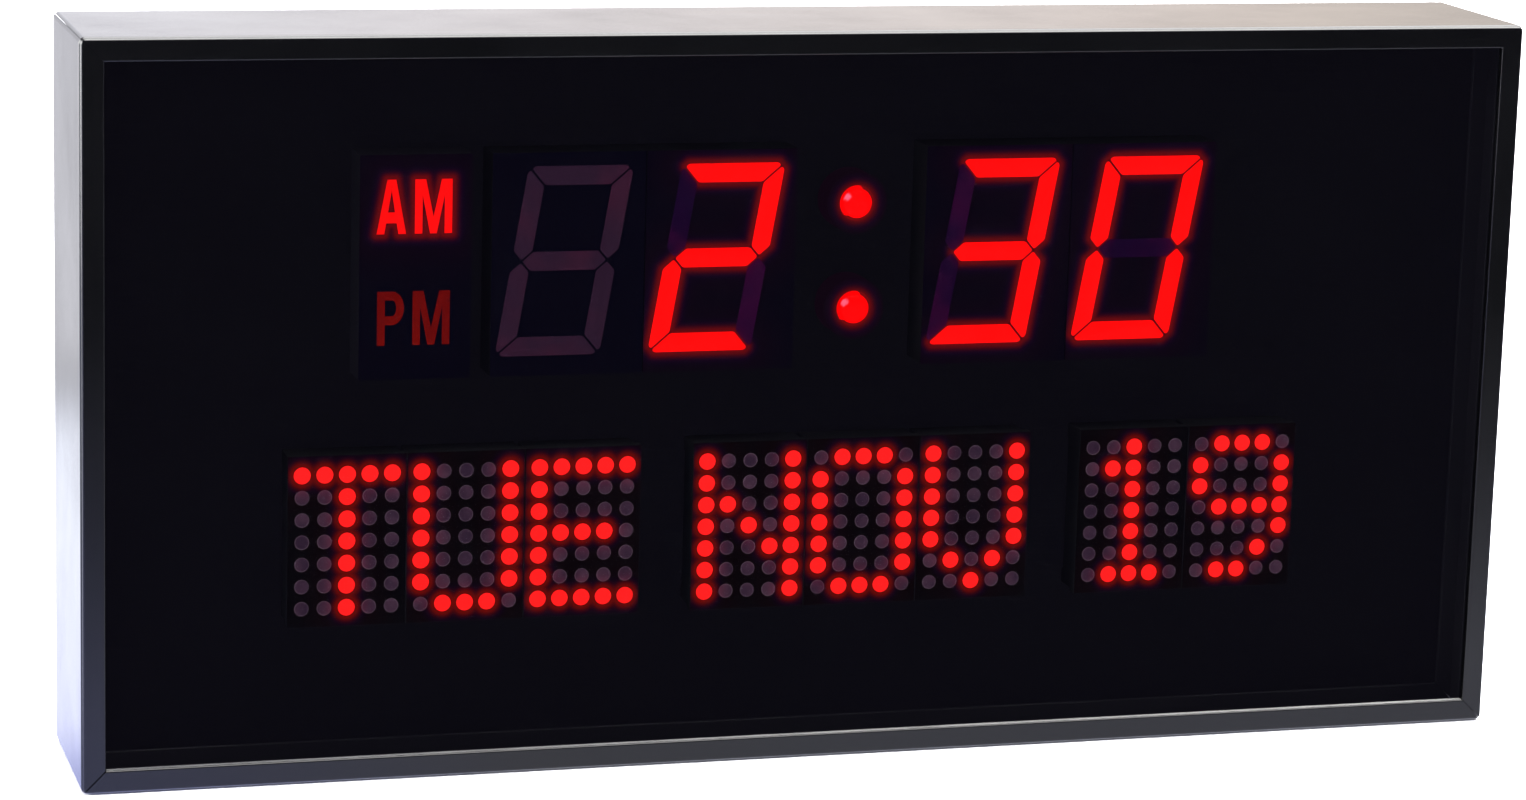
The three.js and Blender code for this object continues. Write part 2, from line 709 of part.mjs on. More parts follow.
// The power socket: a flanged barrel with its contact pin, held from inside by a ring nut.
function addPowerSocket() {
  const flangeRear = COVER_REAR + 1.6;
  const barrelFront = 5;
  const socketDepth = 10;
  const barrel = rod(0, 0, JACK_BODY_RADIUS, [barrelFront, COVER_REAR + 0.5]).add(
    rod(0, 0, JACK_BODY_RADIUS + 2, [COVER_REAR + 0.1, flangeRear]),
  );
  const socket = rod(0, 0, JACK_SOCKET_RADIUS, [flangeRear - socketDepth, flangeRear + 1]);
  const pin = rod(0, 0, 1, [flangeRear - socketDepth - 0.5, flangeRear - 1], PLAIN);
  add("power_socket", barrel.subtract(socket).add(pin), CHIP_BLACK, [JACK_X, 0, CONTROL_Z]);
  const nutFace = [COVER_FRONT - 2.6, COVER_FRONT - 0.2];
  const nut = rod(0, 0, JACK_BODY_RADIUS + 2.5, nutFace, 6).subtract(
    rod(0, 0, JACK_BODY_RADIUS + GAP, [nutFace[0] - 1, nutFace[1] + 1]),
  );
  add("power_socket_nut", nut, STEEL, [JACK_X, 0, CONTROL_Z]);
}

function addBattery() {
  const side = 27;
  const cupRear = COVER_FRONT - 0.1;
  const cupFront = cupRear - 5.5;
  const cavityFront = cupFront + 1;
  const cup = block(0, 0, side, side, [cupFront, cupRear]).subtract(
    rod(0, 0, CELL_RADIUS + GAP, [cavityFront, cupRear + 1]),
  );
  const spot = [CELL_X, 0, CONTROL_Z];
  add("cell_holder", cup, CHIP_BLACK, spot);
  const cellFront = cavityFront + 0.2;
  const rim = 0.6;
  const cell = rod(0, 0, CELL_RADIUS - rim, [cellFront, cellFront + CELL_THICKNESS]).add(
    rod(0, 0, CELL_RADIUS, [cellFront + rim, cellFront + CELL_THICKNESS - 0.2]),
  );
  add("coin_cell", cell, STEEL, spot);

  const doorFront = COVER_REAR + GAP;
  const doorRear = doorFront + DOOR.thickness;
  const plate = block(0, 0, DOOR.width, DOOR.height, [doorFront, doorRear]);
  const ridges = [-3, 0, 3].map((x) => block(x + 6, 0, 1, 14, [doorRear - 0.5, doorRear + 0.8]));
  add("battery_door", union([plate, ...ridges]), BLACK_PLASTIC, spot);
}

// Legs

// A leg folded up against the cover. Its toe points to the rear, and meets the shelf once the leg
// is turned down.
function foldingLeg() {
  const toeReach = LEG_PIVOT_Z - 0.1;
  const toeHeight = 8;
  const half = LEG_THICKNESS / 2;
  const shoulder = KNUCKLE_RADIUS + 2;
  const narrow = [-LEG_BARREL_WIDTH / 2, LEG_BARREL_WIDTH / 2];
  const wide = [-LEG_WIDTH / 2, LEG_WIDTH / 2];
  const top = LEG_LENGTH;
  const arm = [
    [-half, shoulder],
    [half, shoulder],
    [half, top - toeHeight - 4],
    [toeReach, top - toeHeight],
    [toeReach, top],
    [-half, top],
  ];
  return union([
    crossRod(0, 0, KNUCKLE_RADIUS, narrow),
    box(narrow, [-half, half], [0, shoulder + 1]),
    crossPrism(arm, wide),
  ]).subtract(crossRod(0, 0, PIN_HOLE_RADIUS, [-LEG_WIDTH, LEG_WIDTH]));
}

function addLegs() {
  const leg = foldingLeg();
  const pinReach = LEG_BARREL_WIDTH / 2 + GAP + LUG_THICKNESS;
  const pin = crossRod(0, 0, PIN_RADIUS, [-pinReach, pinReach]);
  for (const [name, x] of Object.entries(LEGS_X)) {
    add(`leg_${name}`, leg, BLACK_PLASTIC, [x, LEG_PIVOT_Y, LEG_PIVOT_Z]);
    add(`leg_pin_${name}`, pin, STEEL, [x, LEG_PIVOT_Y, LEG_PIVOT_Z]);
  }
}

addFrame();
addCornerKeys();
addLens();
addDigits();
addIndicator();
addColon();
addDotModules();
addBoards();
addRearCover();
addScrews();
addButtons();
addPowerSocket();
addBattery();
addLegs();

export default clock;
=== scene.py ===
import json
import math

import bmesh
import bpy
import numpy as np
from mathutils import Matrix, Vector


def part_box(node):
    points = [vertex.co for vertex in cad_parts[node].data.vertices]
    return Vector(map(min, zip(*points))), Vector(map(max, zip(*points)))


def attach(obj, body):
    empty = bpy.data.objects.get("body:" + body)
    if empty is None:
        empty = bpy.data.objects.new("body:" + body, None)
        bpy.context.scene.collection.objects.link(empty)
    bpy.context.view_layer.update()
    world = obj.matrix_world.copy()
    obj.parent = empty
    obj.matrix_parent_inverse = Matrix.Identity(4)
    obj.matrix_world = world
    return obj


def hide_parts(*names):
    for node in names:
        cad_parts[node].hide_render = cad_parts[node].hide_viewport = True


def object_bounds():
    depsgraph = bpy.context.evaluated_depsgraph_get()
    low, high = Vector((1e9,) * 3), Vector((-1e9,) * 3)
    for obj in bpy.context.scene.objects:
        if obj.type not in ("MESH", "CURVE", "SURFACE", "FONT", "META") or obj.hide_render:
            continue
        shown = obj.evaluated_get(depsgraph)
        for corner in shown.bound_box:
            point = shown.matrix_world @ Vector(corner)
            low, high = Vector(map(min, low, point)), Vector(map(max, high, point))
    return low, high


# The LED calendar clock, finished around its CAD frame. Metres. The display faces -Y.

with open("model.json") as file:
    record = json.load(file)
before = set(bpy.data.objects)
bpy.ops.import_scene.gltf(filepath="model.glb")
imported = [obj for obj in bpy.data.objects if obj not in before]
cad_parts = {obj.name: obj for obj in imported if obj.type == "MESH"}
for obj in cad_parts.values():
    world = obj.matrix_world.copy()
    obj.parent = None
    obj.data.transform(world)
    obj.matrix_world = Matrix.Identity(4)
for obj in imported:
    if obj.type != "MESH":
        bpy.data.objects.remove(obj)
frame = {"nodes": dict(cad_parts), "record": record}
cad_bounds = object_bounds()

MM = 0.001
CASE_LOW, CASE_HIGH = cad_bounds
FRONT, REAR = CASE_LOW.y, CASE_HIGH.y
WIDTH = CASE_HIGH.x - CASE_LOW.x
HEIGHT = CASE_HIGH.z - CASE_LOW.z

# Case
BEZEL = 6.35 * MM
BEZEL_THICKNESS = 2.2 * MM
WALL = 1.5 * MM
GAP = 0.3 * MM
FIN = 1.3 * MM
BEAD_RADIUS = 0.7 * MM
RIM_DEPTH = 1.6 * MM
RIM_STEP = 0.4 * MM
RIM_EDGE = 0.25 * MM
INNER_ARRIS = 0.55 * MM
STEP_ROUND = 0.12 * MM
FIN_ROUND = 0.2 * MM
LENS_FIN_REACH = 5 * MM
BOARD_FIN_REACH = 6 * MM
LEDGE_REACH = 11 * MM
LEDGE_THICKNESS = 2 * MM
REAR_RADIUS = 3 * MM
REAR_LIP = 4.5 * MM
CORNER_RADIUS = 1.7 * MM
CORNER_STEPS = 6
LIP, INSIDE = 1, 2
MITRE_GAPS = {
    "lower_left": 0.22 * MM,
    "upper_left": 0.06 * MM,
    "upper_right": 0.02 * MM,
    "lower_right": 0.10 * MM,
}

# Display
FILM = 0.15 * MM
FILM_GAP = 0.02 * MM
SINK = 0.05 * MM
BAR_RISE = 0.2 * MM
BAR_SOFTENING = 0.5 * MM
BAR_SLICE = 2 * MM
UPRIGHT_SHARE = 0.6
RIM_SHARE = 0.9
FACE_STEP = 0.6 * MM
DIGITS = ["", "2", "3", "0"]
BARS_OF = {
    "": (),
    "2": ("top", "upper_right", "middle", "lower_left", "bottom"),
    "3": ("top", "upper_right", "middle", "lower_right", "bottom"),
    "0": ("top", "upper_right", "lower_right", "bottom", "lower_left", "upper_left"),
}
DOT_PITCH = 6.05 * MM
DOT_RADII = {"lit": 2.3 * MM, "dark": 2.0 * MM}
DOT_RISE = 0.16 * MM
DOT_RIM = 0.22 * MM
DOT_GROOVE, DOT_GROOVE_DEPTH = 0.10 * MM, 0.06 * MM
DOME_INSET, DOME_HEIGHT = 0.9 * MM, 0.10 * MM
DOT_SIDES = 16
DOT_COLUMNS, DOT_ROWS = 5, 7
DOT_TEXT = "TUENOV19"
DOT_LETTERS = {
    "T": ("#####", "  #  ", "  #  ", "  #  ", "  #  ", "  #  ", "  #  "),
    "U": ("#   #", "#   #", "#   #", "#   #", "#   #", "#   #", " ### "),
    "E": ("#####", "#    ", "#    ", "#### ", "#    ", "#    ", "#####"),
    "N": ("#   #", "#   #", "##  #", "# # #", "#  ##", "#   #", "#   #"),
    "O": (" ### ", "#   #", "#   #", "#   #", "#   #", "#   #", " ### "),
    "V": ("#   #", "#   #", "#   #", "#   #", "#   #", " # # ", "  #  "),
    "1": ("  #  ", " ##  ", "  #  ", "  #  ", "  #  ", "  #  ", " ### "),
    "9": (" ### ", "#   #", "#   #", " ####", "    #", "   # ", " ##  "),
}

# Indicator letters and colon lamps
LETTER_WIDTHS = {"A": 7.9 * MM, "P": 7.2 * MM, "M": 10 * MM}
LETTER_SPACE = 2.3 * MM
LETTER_HEIGHT = 14.5 * MM
LETTER_SHIFT = 0.4 * MM
LETTER_RISE = 0.12 * MM
# The lamps stand this far from their CAD places, with flatter domes
LAMP_SHIFT = Vector((1.2 * MM, 0, -0.8 * MM))
LAMP_RADIUS = 4.1 * MM
DOME_RISE = 2 * MM
LAMP_FLANGE = 1.5 * MM
LAMP_STEPS = 14
# Where on each dome the painted glint, a painted highlight, sits
GLINT_SIDE = Vector((-0.82, -0.26, 0.50))
SPACER_RADIUS = 8.5 * MM
SPACER_STEPS = 8

# Inside. The black parts behind the lens carry an even painted glow in place of the little light they
# scatter back.
WIRE_PITCH = 1.27 * MM
INNER_BLACK = (0.002, 0.002, 0.003)
INNER_PAINTED_GLOW = (0.0034, 0.0031, 0.0058)
MATT = {"Specular IOR Level": 0.02}

# Back
COVER_REAR = 17 * MM
COLLAR_REAR = 14.6 * MM
SCREW_HEAD = 1.8 * MM
SCREW_CROWN = ((0.68, 0), (0.86, 0.12), (0.97, 0.40), (1, 0.66))
SCREW_SHANK = 1.4 * MM
CROSS_HALF = 0.4 * MM
CROSS_REACH = 1.7 * MM
CROSS_DEPTH = 1.0 * MM
CROSS_TAPER = 0.7
BUTTON_RADIUS = 3.5 * MM
BUTTON_DISH = 0.4 * MM
DISH_EDGE = 0.86
STEM_RADIUS = 2 * MM
COLLAR_THICKNESS = 1.2 * MM
SIGN_SIZE = 1.8 * MM
SIGN_RISE = 0.3 * MM
SIGN_SOFTENING = 0.15 * MM
SIGN_HEIGHT = 4 * MM
SOCKET_BORE = 3.1 * MM
SOCKET_BARREL = 5 * MM
SOCKET_DEPTH = 10 * MM
SOCKET_CHAMFER = 0.5 * MM
CELL_RIM = 0.6 * MM

# Camera: its place, how far it turns right and down from straight ahead, and its tilt
CAMERA_PLACE = Vector((-0.34829, -1.16707, 0.35105))
CAMERA_YAW = math.radians(16.214)
CAMERA_PITCH = math.radians(11.925)
CAMERA_ROLL = math.radians(-1.626)
CAMERA_LENS = 106.39


# Studio

def make_camera():
    data = bpy.data.cameras.new("camera")
    data.sensor_width = 36
    data.lens = CAMERA_LENS
    camera = bpy.data.objects.new("camera", data)
    bpy.context.scene.collection.objects.link(camera)
    turn = (
        Matrix.Rotation(-CAMERA_YAW, 3, "Z")
        @ Matrix.Rotation(math.pi / 2 - CAMERA_PITCH, 3, "X")
        @ Matrix.Rotation(-CAMERA_ROLL, 3, "Z")
    )
    camera.matrix_world = Matrix.Translation(CAMERA_PLACE) @ turn.to_4x4()
    bpy.context.scene.camera = camera


class Wiring:
    """A node tree, with short ways to add nodes and links to it."""

    def __init__(self, tree):
        self.tree = tree

    def put(self, socket, value):
        if isinstance(value, bpy.types.NodeSocket):
            self.tree.links.new(value, socket)
        else:
            socket.default_value = value

    def node(self, kind, inputs=(), **settings):
        node = self.tree.nodes.new("ShaderNode" + kind)
        for name, value in settings.items():
            setattr(node, name, value)
        for name, value in dict(inputs).items():
            self.put(node.inputs[name], value)
        return node

    def math(self, operation, *values):
        return self.node("Math", enumerate(values), operation=operation).outputs[0]

    def dot(self, vector, direction):
        unit = Vector(direction).normalized()
        return self.node("VectorMath", {0: vector, 1: unit}, operation="DOT_PRODUCT").outputs["Value"]

    def spread(self, value, low, high, to_low=0.0, to_high=1.0, smooth=False):
        inputs = {"Value": value, "From Min": low, "From Max": high, "To Min": to_low, "To Max": to_high}
        kind = "SMOOTHSTEP" if smooth else "LINEAR"
        return self.node("MapRange", inputs, interpolation_type=kind).outputs[0]

    def mix(self, factor, low, high, blend="MIX"):
        shades = [(*c, 1) if isinstance(c, tuple) else c for c in (low, high)]
        inputs = {0: factor, 6: shades[0], 7: shades[1]}
        return self.node("Mix", inputs, data_type="RGBA", blend_type=blend).outputs[2]


def light_the_world():
    """White behind the camera's view. For everything else the room is bright behind the clock, with a
    large soft light above and one to the left, and dim in front."""
    world = bpy.data.worlds.new("studio")
    bpy.context.scene.world = world
    world.use_nodes = True
    w = Wiring(world.node_tree)
    w.tree.nodes.clear()
    toward = w.node("TexCoord").outputs["Generated"]
    to_right, to_back, to_top = (w.dot(toward, axis) for axis in ((1, 0, 0), (0, 1, 0), (0, 0, 1)))
    wall = w.mix(w.spread(to_right, 0.10, 0.42), (1.66, 1.66, 1.80), (1.42, 1.22, 1.08))
    wall = w.mix(w.spread(to_right, 0.33, 0.46, smooth=True), wall, (1.11, 1.01, 0.93))
    wall = w.mix(w.spread(to_top, -0.10, -0.18), wall, (1.22, 1.20, 1.25))
    wall = w.mix(w.spread(to_right, -0.10, 0.08), (1.20, 1.20, 1.30), wall)
    back = w.spread(to_back, -0.10, 0.12, smooth=True)
    room = w.mix(back, (0.02, 0.02, 0.035), wall)
    overhead = w.spread(w.dot(toward, (0.28, 0.05, 0.96)), 0.76, 0.90, 0.0, 12.0, smooth=True)
    left = w.spread(w.dot(toward, (-0.96, 0.20, 0.05)), 0.72, 0.92, 0.0, 13.0, smooth=True)
    lights = w.math("ADD", overhead, left)
    glow = w.mix(1.0, room, w.node("CombineColor", {0: lights, 1: lights, 2: lights}).outputs[0], "ADD")
    studio = w.node("Background", {"Color": glow, "Strength": 1.0}).outputs[0]
    white = w.node("Background", {"Color": (1, 1, 1, 1), "Strength": 1.1}).outputs[0]
    seen = w.node("LightPath").outputs["Is Camera Ray"]
    shader = w.node("MixShader", {0: seen, 1: studio, 2: white}).outputs[0]
    w.tree.links.new(shader, w.node("OutputWorld").inputs["Surface"])


def plane(name, low, high, height):
    bm = bmesh.new()
    bmesh.ops.create_grid(bm, x_segments=1, y_segments=1, size=0.5)
    size = Vector((high[0] - low[0], high[1] - low[1], 1))
    bmesh.ops.scale(bm, vec=size, verts=bm.verts)
    bmesh.ops.translate(bm, vec=((low[0] + high[0]) / 2, (low[1] + high[1]) / 2, height), verts=bm.verts)
    mesh = bpy.data.meshes.new(name)
    bm.to_mesh(mesh)
    bm.free()
    obj = bpy.data.objects.new(name, mesh)
    bpy.context.scene.collection.objects.link(obj)
    return obj


def lay_the_floor():
    """A pale floor, and over it what the case's satin faces mirror: a lit table that ends in front."""
    floor = plane("floor", (-6, -6), (6, 6), -0.1 * MM)
    pale = Finish("pale_floor", (0.86, 0.87, 0.9), 0.8)
    floor.data.materials.append(pale.material)
    floor.visible_glossy = False

    table = plane("table_sheen", (-2.5, -0.75), (2.5, 0.6), -0.05 * MM)
    table.visible_camera = False
    table.visible_diffuse = False
    table.visible_shadow = False
    table.visible_transmission = False
    material = bpy.data.materials.new("table_sheen")
    material.use_nodes = True
    w = Wiring(material.node_tree)
    w.tree.nodes.clear()
    spot = w.node("SeparateXYZ", {0: w.node("TexCoord").outputs["Object"]}).outputs
    across, along = spot["X"], spot["Y"]
    near = w.math("MULTIPLY", w.math("POWER", w.spread(along, -0.70, -0.10), 2.0), 1.05)
    behind = w.spread(along, -0.02, 0.05, 0.0, 1.4, smooth=True)
    far = w.spread(along, 0.38, 0.60, 1.0, 0.0, smooth=True)
    fading = w.math("MULTIPLY", far, w.spread(along, 0.08, 0.40, 1.0, 0.85))
    strength = w.math("MULTIPLY", w.math("ADD", near, behind), fading)
    front_tint = w.mix(w.spread(across, -0.20, -0.08), (0.86, 0.92, 1.60), (0.97, 0.99, 1.18))
    back_tint = w.mix(w.spread(along, 0.05, 0.25), (0.70, 0.73, 1.0), (0.85, 0.88, 1.0))
    tint = w.mix(w.spread(along, -0.02, 0.03), front_tint, back_tint)
    glow = w.node("Emission", {"Color": tint, "Strength": strength}).outputs[0]
    clear = w.node("BsdfTransparent").outputs[0]
    shown = w.node("MixShader", {0: far, 1: clear, 2: glow}).outputs[0]
    w.tree.links.new(shown, w.node("OutputMaterial").inputs["Surface"])
    table.data.materials.append(material)


# Materials

class Finish(Wiring):
    """A Principled material whose patterns follow the object's own coordinates."""

    def __init__(self, name, colour, roughness, sockets=()):
        self.material = bpy.data.materials.new(name)
        self.material.use_nodes = True
        super().__init__(self.material.node_tree)
        self.shader = self.tree.nodes["Principled BSDF"]
        self.set("Base Color", (*colour, 1))
        self.set("Roughness", roughness)
        for socket, value in dict(sockets).items():
            self.set(socket, value)

    def set(self, socket, value):
        self.put(self.shader.inputs[socket], value)

    def place(self, stretch=(1, 1, 1)):
        spot = self.node("TexCoord").outputs["Object"]
        return self.node("Mapping", {"Vector": spot, "Scale": stretch}).outputs[0]

    def noise(self, size, detail=3.0, stretch=(1, 1, 1), roughness=0.55):
        """Noise whose blotches are about this size in metres."""
        inputs = {"Vector": self.place(stretch), "Scale": 1 / size, "Detail": detail}
        return self.node("TexNoise", {**inputs, "Roughness": roughness}).outputs[0]

    def specks(self, pitch, radius, share):
        """1 on sparse round specks: a share of the cells of this pitch holds one."""
        cells = self.node("TexVoronoi", {"Vector": self.place(), "Scale": 1 / pitch, "Randomness": 1.0})
        near = self.math("LESS_THAN", cells.outputs["Distance"], radius / pitch)
        pick = self.node("SeparateColor", {0: cells.outputs["Color"]}).outputs[0]
        return self.math("MULTIPLY", near, self.math("LESS_THAN", pick, share))

    def attribute(self, name):
        return self.node("Attribute", attribute_name=name, attribute_type="GEOMETRY").outputs["Fac"]

    def bump(self, height, depth, strength=1.0, under=None):
        inputs = {"Height": height, "Distance": depth, "Strength": strength}
        if under is not None:
            inputs["Normal"] = under
        normal = self.node("Bump", inputs).outputs[0]
        self.set("Normal", normal)
        return normal


def satin_black():
    """The extrusions' coat: very dark, satin, with a faint grain, a few dust specks and rubbed spots."""
    f = Finish("frame_black_satin", (0.0018, 0.0018, 0.0022), 0.2)
    cloud = f.noise(45 * MM, 4)
    grain = f.noise(0.35 * MM, 2)
    dust = f.math("MAXIMUM", f.specks(19 * MM, 0.24 * MM, 0.4), f.specks(9 * MM, 0.11 * MM, 0.35))
    base = f.mix(cloud, (0.0010, 0.0010, 0.0013), (0.0030, 0.0030, 0.0037))
    f.set("Base Color", f.mix(dust, base, (0.42, 0.41, 0.39)))
    worn = f.math("ADD", f.spread(cloud, 0.3, 0.7, 0.15, 0.23), f.spread(grain, 0.3, 0.7, -0.02, 0.02))
    f.set("Roughness", f.math("MAXIMUM", worn, f.math("MULTIPLY", dust, 0.8)))
    f.bump(grain, 0.01 * MM, 0.25)
    return f.material


def smoked():
    """The lens: polished smoked acrylic that reflects little, with dust and an even painted glow in
    place of the light it scatters.
    """
    sockets = {"Alpha": 0.3, "Specular IOR Level": 0.005}
    f = Finish("smoked_lens", (0.0006, 0.0006, 0.0009), 0.08, sockets)
    cloud = f.noise(70 * MM, 3)
    dust = f.specks(43 * MM, 0.10 * MM, 0.3)
    base = f.mix(cloud, (0.0005, 0.0005, 0.0008), (0.0008, 0.0008, 0.0011))
    f.set("Base Color", f.mix(dust, base, (0.03, 0.03, 0.034)))
    f.set("Roughness", f.spread(cloud, 0.3, 0.7, 0.06, 0.11))
    # Painted glow: an even emission over the whole lens
    f.set("Emission Color", f.mix(cloud, (0.0019, 0.0017, 0.0029), (0.0021, 0.0019, 0.0031)))
    f.set("Emission Strength", 1.0)
    return f.material


def spill(f, width, centre=0.0):
    """How much painted lamplight a spot gets: a bell curve over its distance to the nearest lit part.
    The mesh carries that distance, in millimetres, as lamp_distance."""
    distance = f.attribute("lamp_distance")
    reach = f.math("DIVIDE", f.math("SUBTRACT", distance, centre), width)
    return distance, f.math("EXPONENT", f.math("MULTIPLY", f.math("MULTIPLY", reach, reach), -1.0))


def glowing_face(name, painted_light_tone, near_width):
    """A matt black display face with a painted glow: red round the lit parts, turning violet further
    out, over an even painted glow.
    """
    f = Finish(name, (0.0008, 0.0006, 0.0012), 0.55, MATT)
    distance, near = spill(f, near_width)
    _, wide = spill(f, 9.0)
    _, fringe = spill(f, 1.1, 1.8 * near_width)
    gap = f.spread(distance, 0.10, 0.40, 0.35, 1.0, smooth=True)
    grain = f.noise(0.6 * MM, 2)
    red = f.math("MULTIPLY", f.math("MULTIPLY", near, gap), 0.27)
    shade = f.node("CombineColor", {
        0: f.math("ADD", red, f.math("MULTIPLY_ADD", wide, 0.005, painted_light_tone[0])),
        1: f.math("MULTIPLY_ADD", red, 0.02, f.math("MULTIPLY_ADD", wide, -0.8 * painted_light_tone[1], painted_light_tone[1])),
        2: f.math("MULTIPLY_ADD", fringe, 0.008, painted_light_tone[2]),
    }).outputs[0]
    f.set("Emission Color", shade)
    f.set("Emission Strength", 1.0)
    f.set("Base Color", f.mix(grain, (0.0005, 0.0004, 0.0008), (0.0012, 0.0010, 0.0017)))
    f.set("Roughness", f.spread(grain, 0.3, 0.7, 0.45, 0.65))
    f.bump(grain, 0.02 * MM, 0.3)
    return f.material


def lit_red(name, strength=2.4, warmth=0.0):
    """A lit diffuser: even red with a soft cloudiness."""
    f = Finish(name, (0.3, 0.002, 0.002), 0.4, MATT)
    cloud = f.noise(6 * MM, 2)
    f.set("Emission Color", f.mix(cloud, (1.0, warmth, warmth), (0.95, 0.002 + warmth, 0.001 + warmth)))
    f.set("Emission Strength", strength)
    f.set("Roughness", f.spread(cloud, 0.3, 0.7, 0.35, 0.45))
    return f.material


def unlit_diffuser(name, low, high, blotch, near_lamp=0.0, reach=1.7):
    """A diffuser that is off, with a painted glow in place of the light that reaches it and leaks into
    it, more beside a lit part.
    """
    f = Finish(name, high, 0.45, MATT)
    cloud = f.spread(f.noise(blotch, 2), 0.35, 0.65, smooth=True)
    grain = f.noise(0.8 * MM, 2)
    # The emission is a painted glow, not the diffuser's colour
    own = f.mix(cloud, low, high)
    if near_lamp:
        _, near = spill(f, reach)
        leak = f.math("MULTIPLY", near, near_lamp)
        tint = {0: leak, 1: 0.0, 2: f.math("MULTIPLY", leak, 0.05)}
        own = f.mix(1.0, own, f.node("CombineColor", tint).outputs[0], "ADD")
    f.set("Emission Color", own)
    f.set("Emission Strength", 1.0)
    f.set("Base Color", f.mix(grain, tuple(0.15 * c for c in low), tuple(0.25 * c for c in high)))
    f.set("Roughness", f.spread(grain, 0.3, 0.7, 0.38, 0.55))
    f.bump(grain, 0.02 * MM, 0.25)
    return f.material


def lamp_red():
    """A lit lamp: even red, with a painted soft pink glint, a painted highlight, on one side of its
    dome.
    """
    f = Finish("lit_lamps", (0.3, 0.002, 0.002), 0.3, MATT)
    distance = f.attribute("glint_distance")
    glint = f.spread(f.math("ADD", distance, f.spread(f.noise(1.2 * MM, 2), 0.3, 0.7, -0.25, 0.25)),
                     1.5, 0.7, smooth=True)
    f.set("Emission Color", f.mix(glint, (1.0, 0.0, 0.0), (1.0, 0.11, 0.19)))
    f.set("Emission Strength", 2.2)
    f.set("Roughness", f.spread(f.noise(2 * MM, 2), 0.3, 0.7, 0.25, 0.35))
    return f.material


def lip_painted_highlight():
    """A painted highlight along the lower lip: a pale grey base in streaks, painted brighter to the
    right, that the light from above lifts into a bright line.
    """
    f = Finish("lip_painted_highlight", (0.3, 0.3, 0.3), 0.45)
    across = f.node("SeparateXYZ", {0: f.place()}).outputs["X"]
    cloud = f.noise(3 * MM, 3, stretch=(0.15, 1, 1))
    painted_light_tone = f.mix(f.spread(across, -0.15, 0.15), (0.16, 0.16, 0.165), (0.42, 0.42, 0.41))
    dull = f.mix(0.35, painted_light_tone, (0.02, 0.02, 0.02))
    f.set("Base Color", f.mix(f.spread(cloud, 0.3, 0.7), dull, painted_light_tone))
    f.set("Roughness", f.spread(cloud, 0.3, 0.7, 0.4, 0.55))
    f.bump(cloud, 0.02 * MM, 0.3)
    return f.material


def moulded_black(name, colour=(0.016, 0.016, 0.018), texture=0.55 * MM, painted_glow=(0, 0, 0)):
    """A sparked moulding: fine pebbled texture, slightly uneven gloss, a few pale dust specks, and an
    even painted glow where one is given.
    """
    f = Finish(name, colour, 0.5)
    cloud = f.noise(60 * MM, 3)
    pebble = f.node("TexVoronoi", {"Vector": f.place(), "Scale": 1 / texture}).outputs["Distance"]
    fine = f.noise(0.25 * MM, 2)
    dust = f.specks(16 * MM, 0.16 * MM, 0.4)
    base = f.mix(cloud, tuple(0.8 * c for c in colour), tuple(1.3 * c for c in colour))
    f.set("Base Color", f.mix(dust, base, (0.12, 0.12, 0.12)))
    broad, close = f.spread(cloud, 0.3, 0.7, 0.40, 0.54), f.spread(fine, 0.3, 0.7, -0.05, 0.05)
    f.set("Roughness", f.math("ADD", broad, close))
    if any(painted_glow):
        f.set("Emission Color", f.mix(cloud, tuple(0.9 * c for c in painted_glow), tuple(1.1 * c for c in painted_glow)))
        f.set("Emission Strength", 1.0)
    f.bump(fine, 0.02 * MM, 0.3, under=f.bump(pebble, 0.05 * MM, 0.4))
    return f.material


def bright_steel(name, colour=(0.44, 0.44, 0.46), roughness=0.28):
    """Zinc-plated steel with fine drawn lines and dull patches."""
    f = Finish(name, colour, roughness, {"Metallic": 1.0})
    drawn = f.noise(0.5 * MM, 3, stretch=(0.08, 1, 1))
    cloud = f.noise(5 * MM, 3)
    f.set("Base Color", f.mix(cloud, tuple(0.78 * c for c in colour), colour))
    patches = f.spread(cloud, 0.3, 0.7, roughness - 0.06, roughness + 0.1)
    f.set("Roughness", f.math("ADD", patches, f.spread(drawn, 0.3, 0.7, -0.04, 0.05)))
    f.bump(drawn, 0.01 * MM, 0.4)
    return f.material


def solder_mask(name, mask, track, painted_glow=(0, 0, 0), gloss=0.5):
    """A circuit board: solder mask over copper tracks that run in stepped lines, with tinned dots and an
    even painted glow where one is given.
    """
    f = Finish(name, mask, 0.32, {"Specular IOR Level": gloss})
    spot = f.place()
    grid = f.node("Mapping", {"Vector": spot, "Rotation": (math.pi / 2, 0, 0)}).outputs[0]
    lines = {"Vector": grid, "Color1": (0, 0, 0, 1), "Color2": (1, 1, 1, 1),
             "Mortar": (0.5, 0.5, 0.5, 1)}
    brick = f.node("TexBrick", {**lines, "Scale": 1.0, "Mortar Size": 0.35 * MM,
                                "Brick Width": 17 * MM, "Row Height": 2.6 * MM})
    tracks = brick.outputs["Fac"]
    dots = f.specks(6 * MM, 0.55 * MM, 0.5)
    cloud = f.noise(30 * MM, 3)
    base = f.mix(cloud, tuple(0.8 * c for c in mask), tuple(1.2 * c for c in mask))
    f.set("Base Color", f.mix(dots, f.mix(tracks, base, track), tuple(4 * c for c in track)))
    f.set("Roughness", f.spread(cloud, 0.3, 0.7, 0.26, 0.4))
    f.set("Emission Color", f.mix(cloud, tuple(0.94 * c for c in painted_glow), tuple(1.06 * c for c in painted_glow)))
    f.set("Emission Strength", 1.0)
    f.bump(tracks, 0.03 * MM, 0.6)
    return f.material


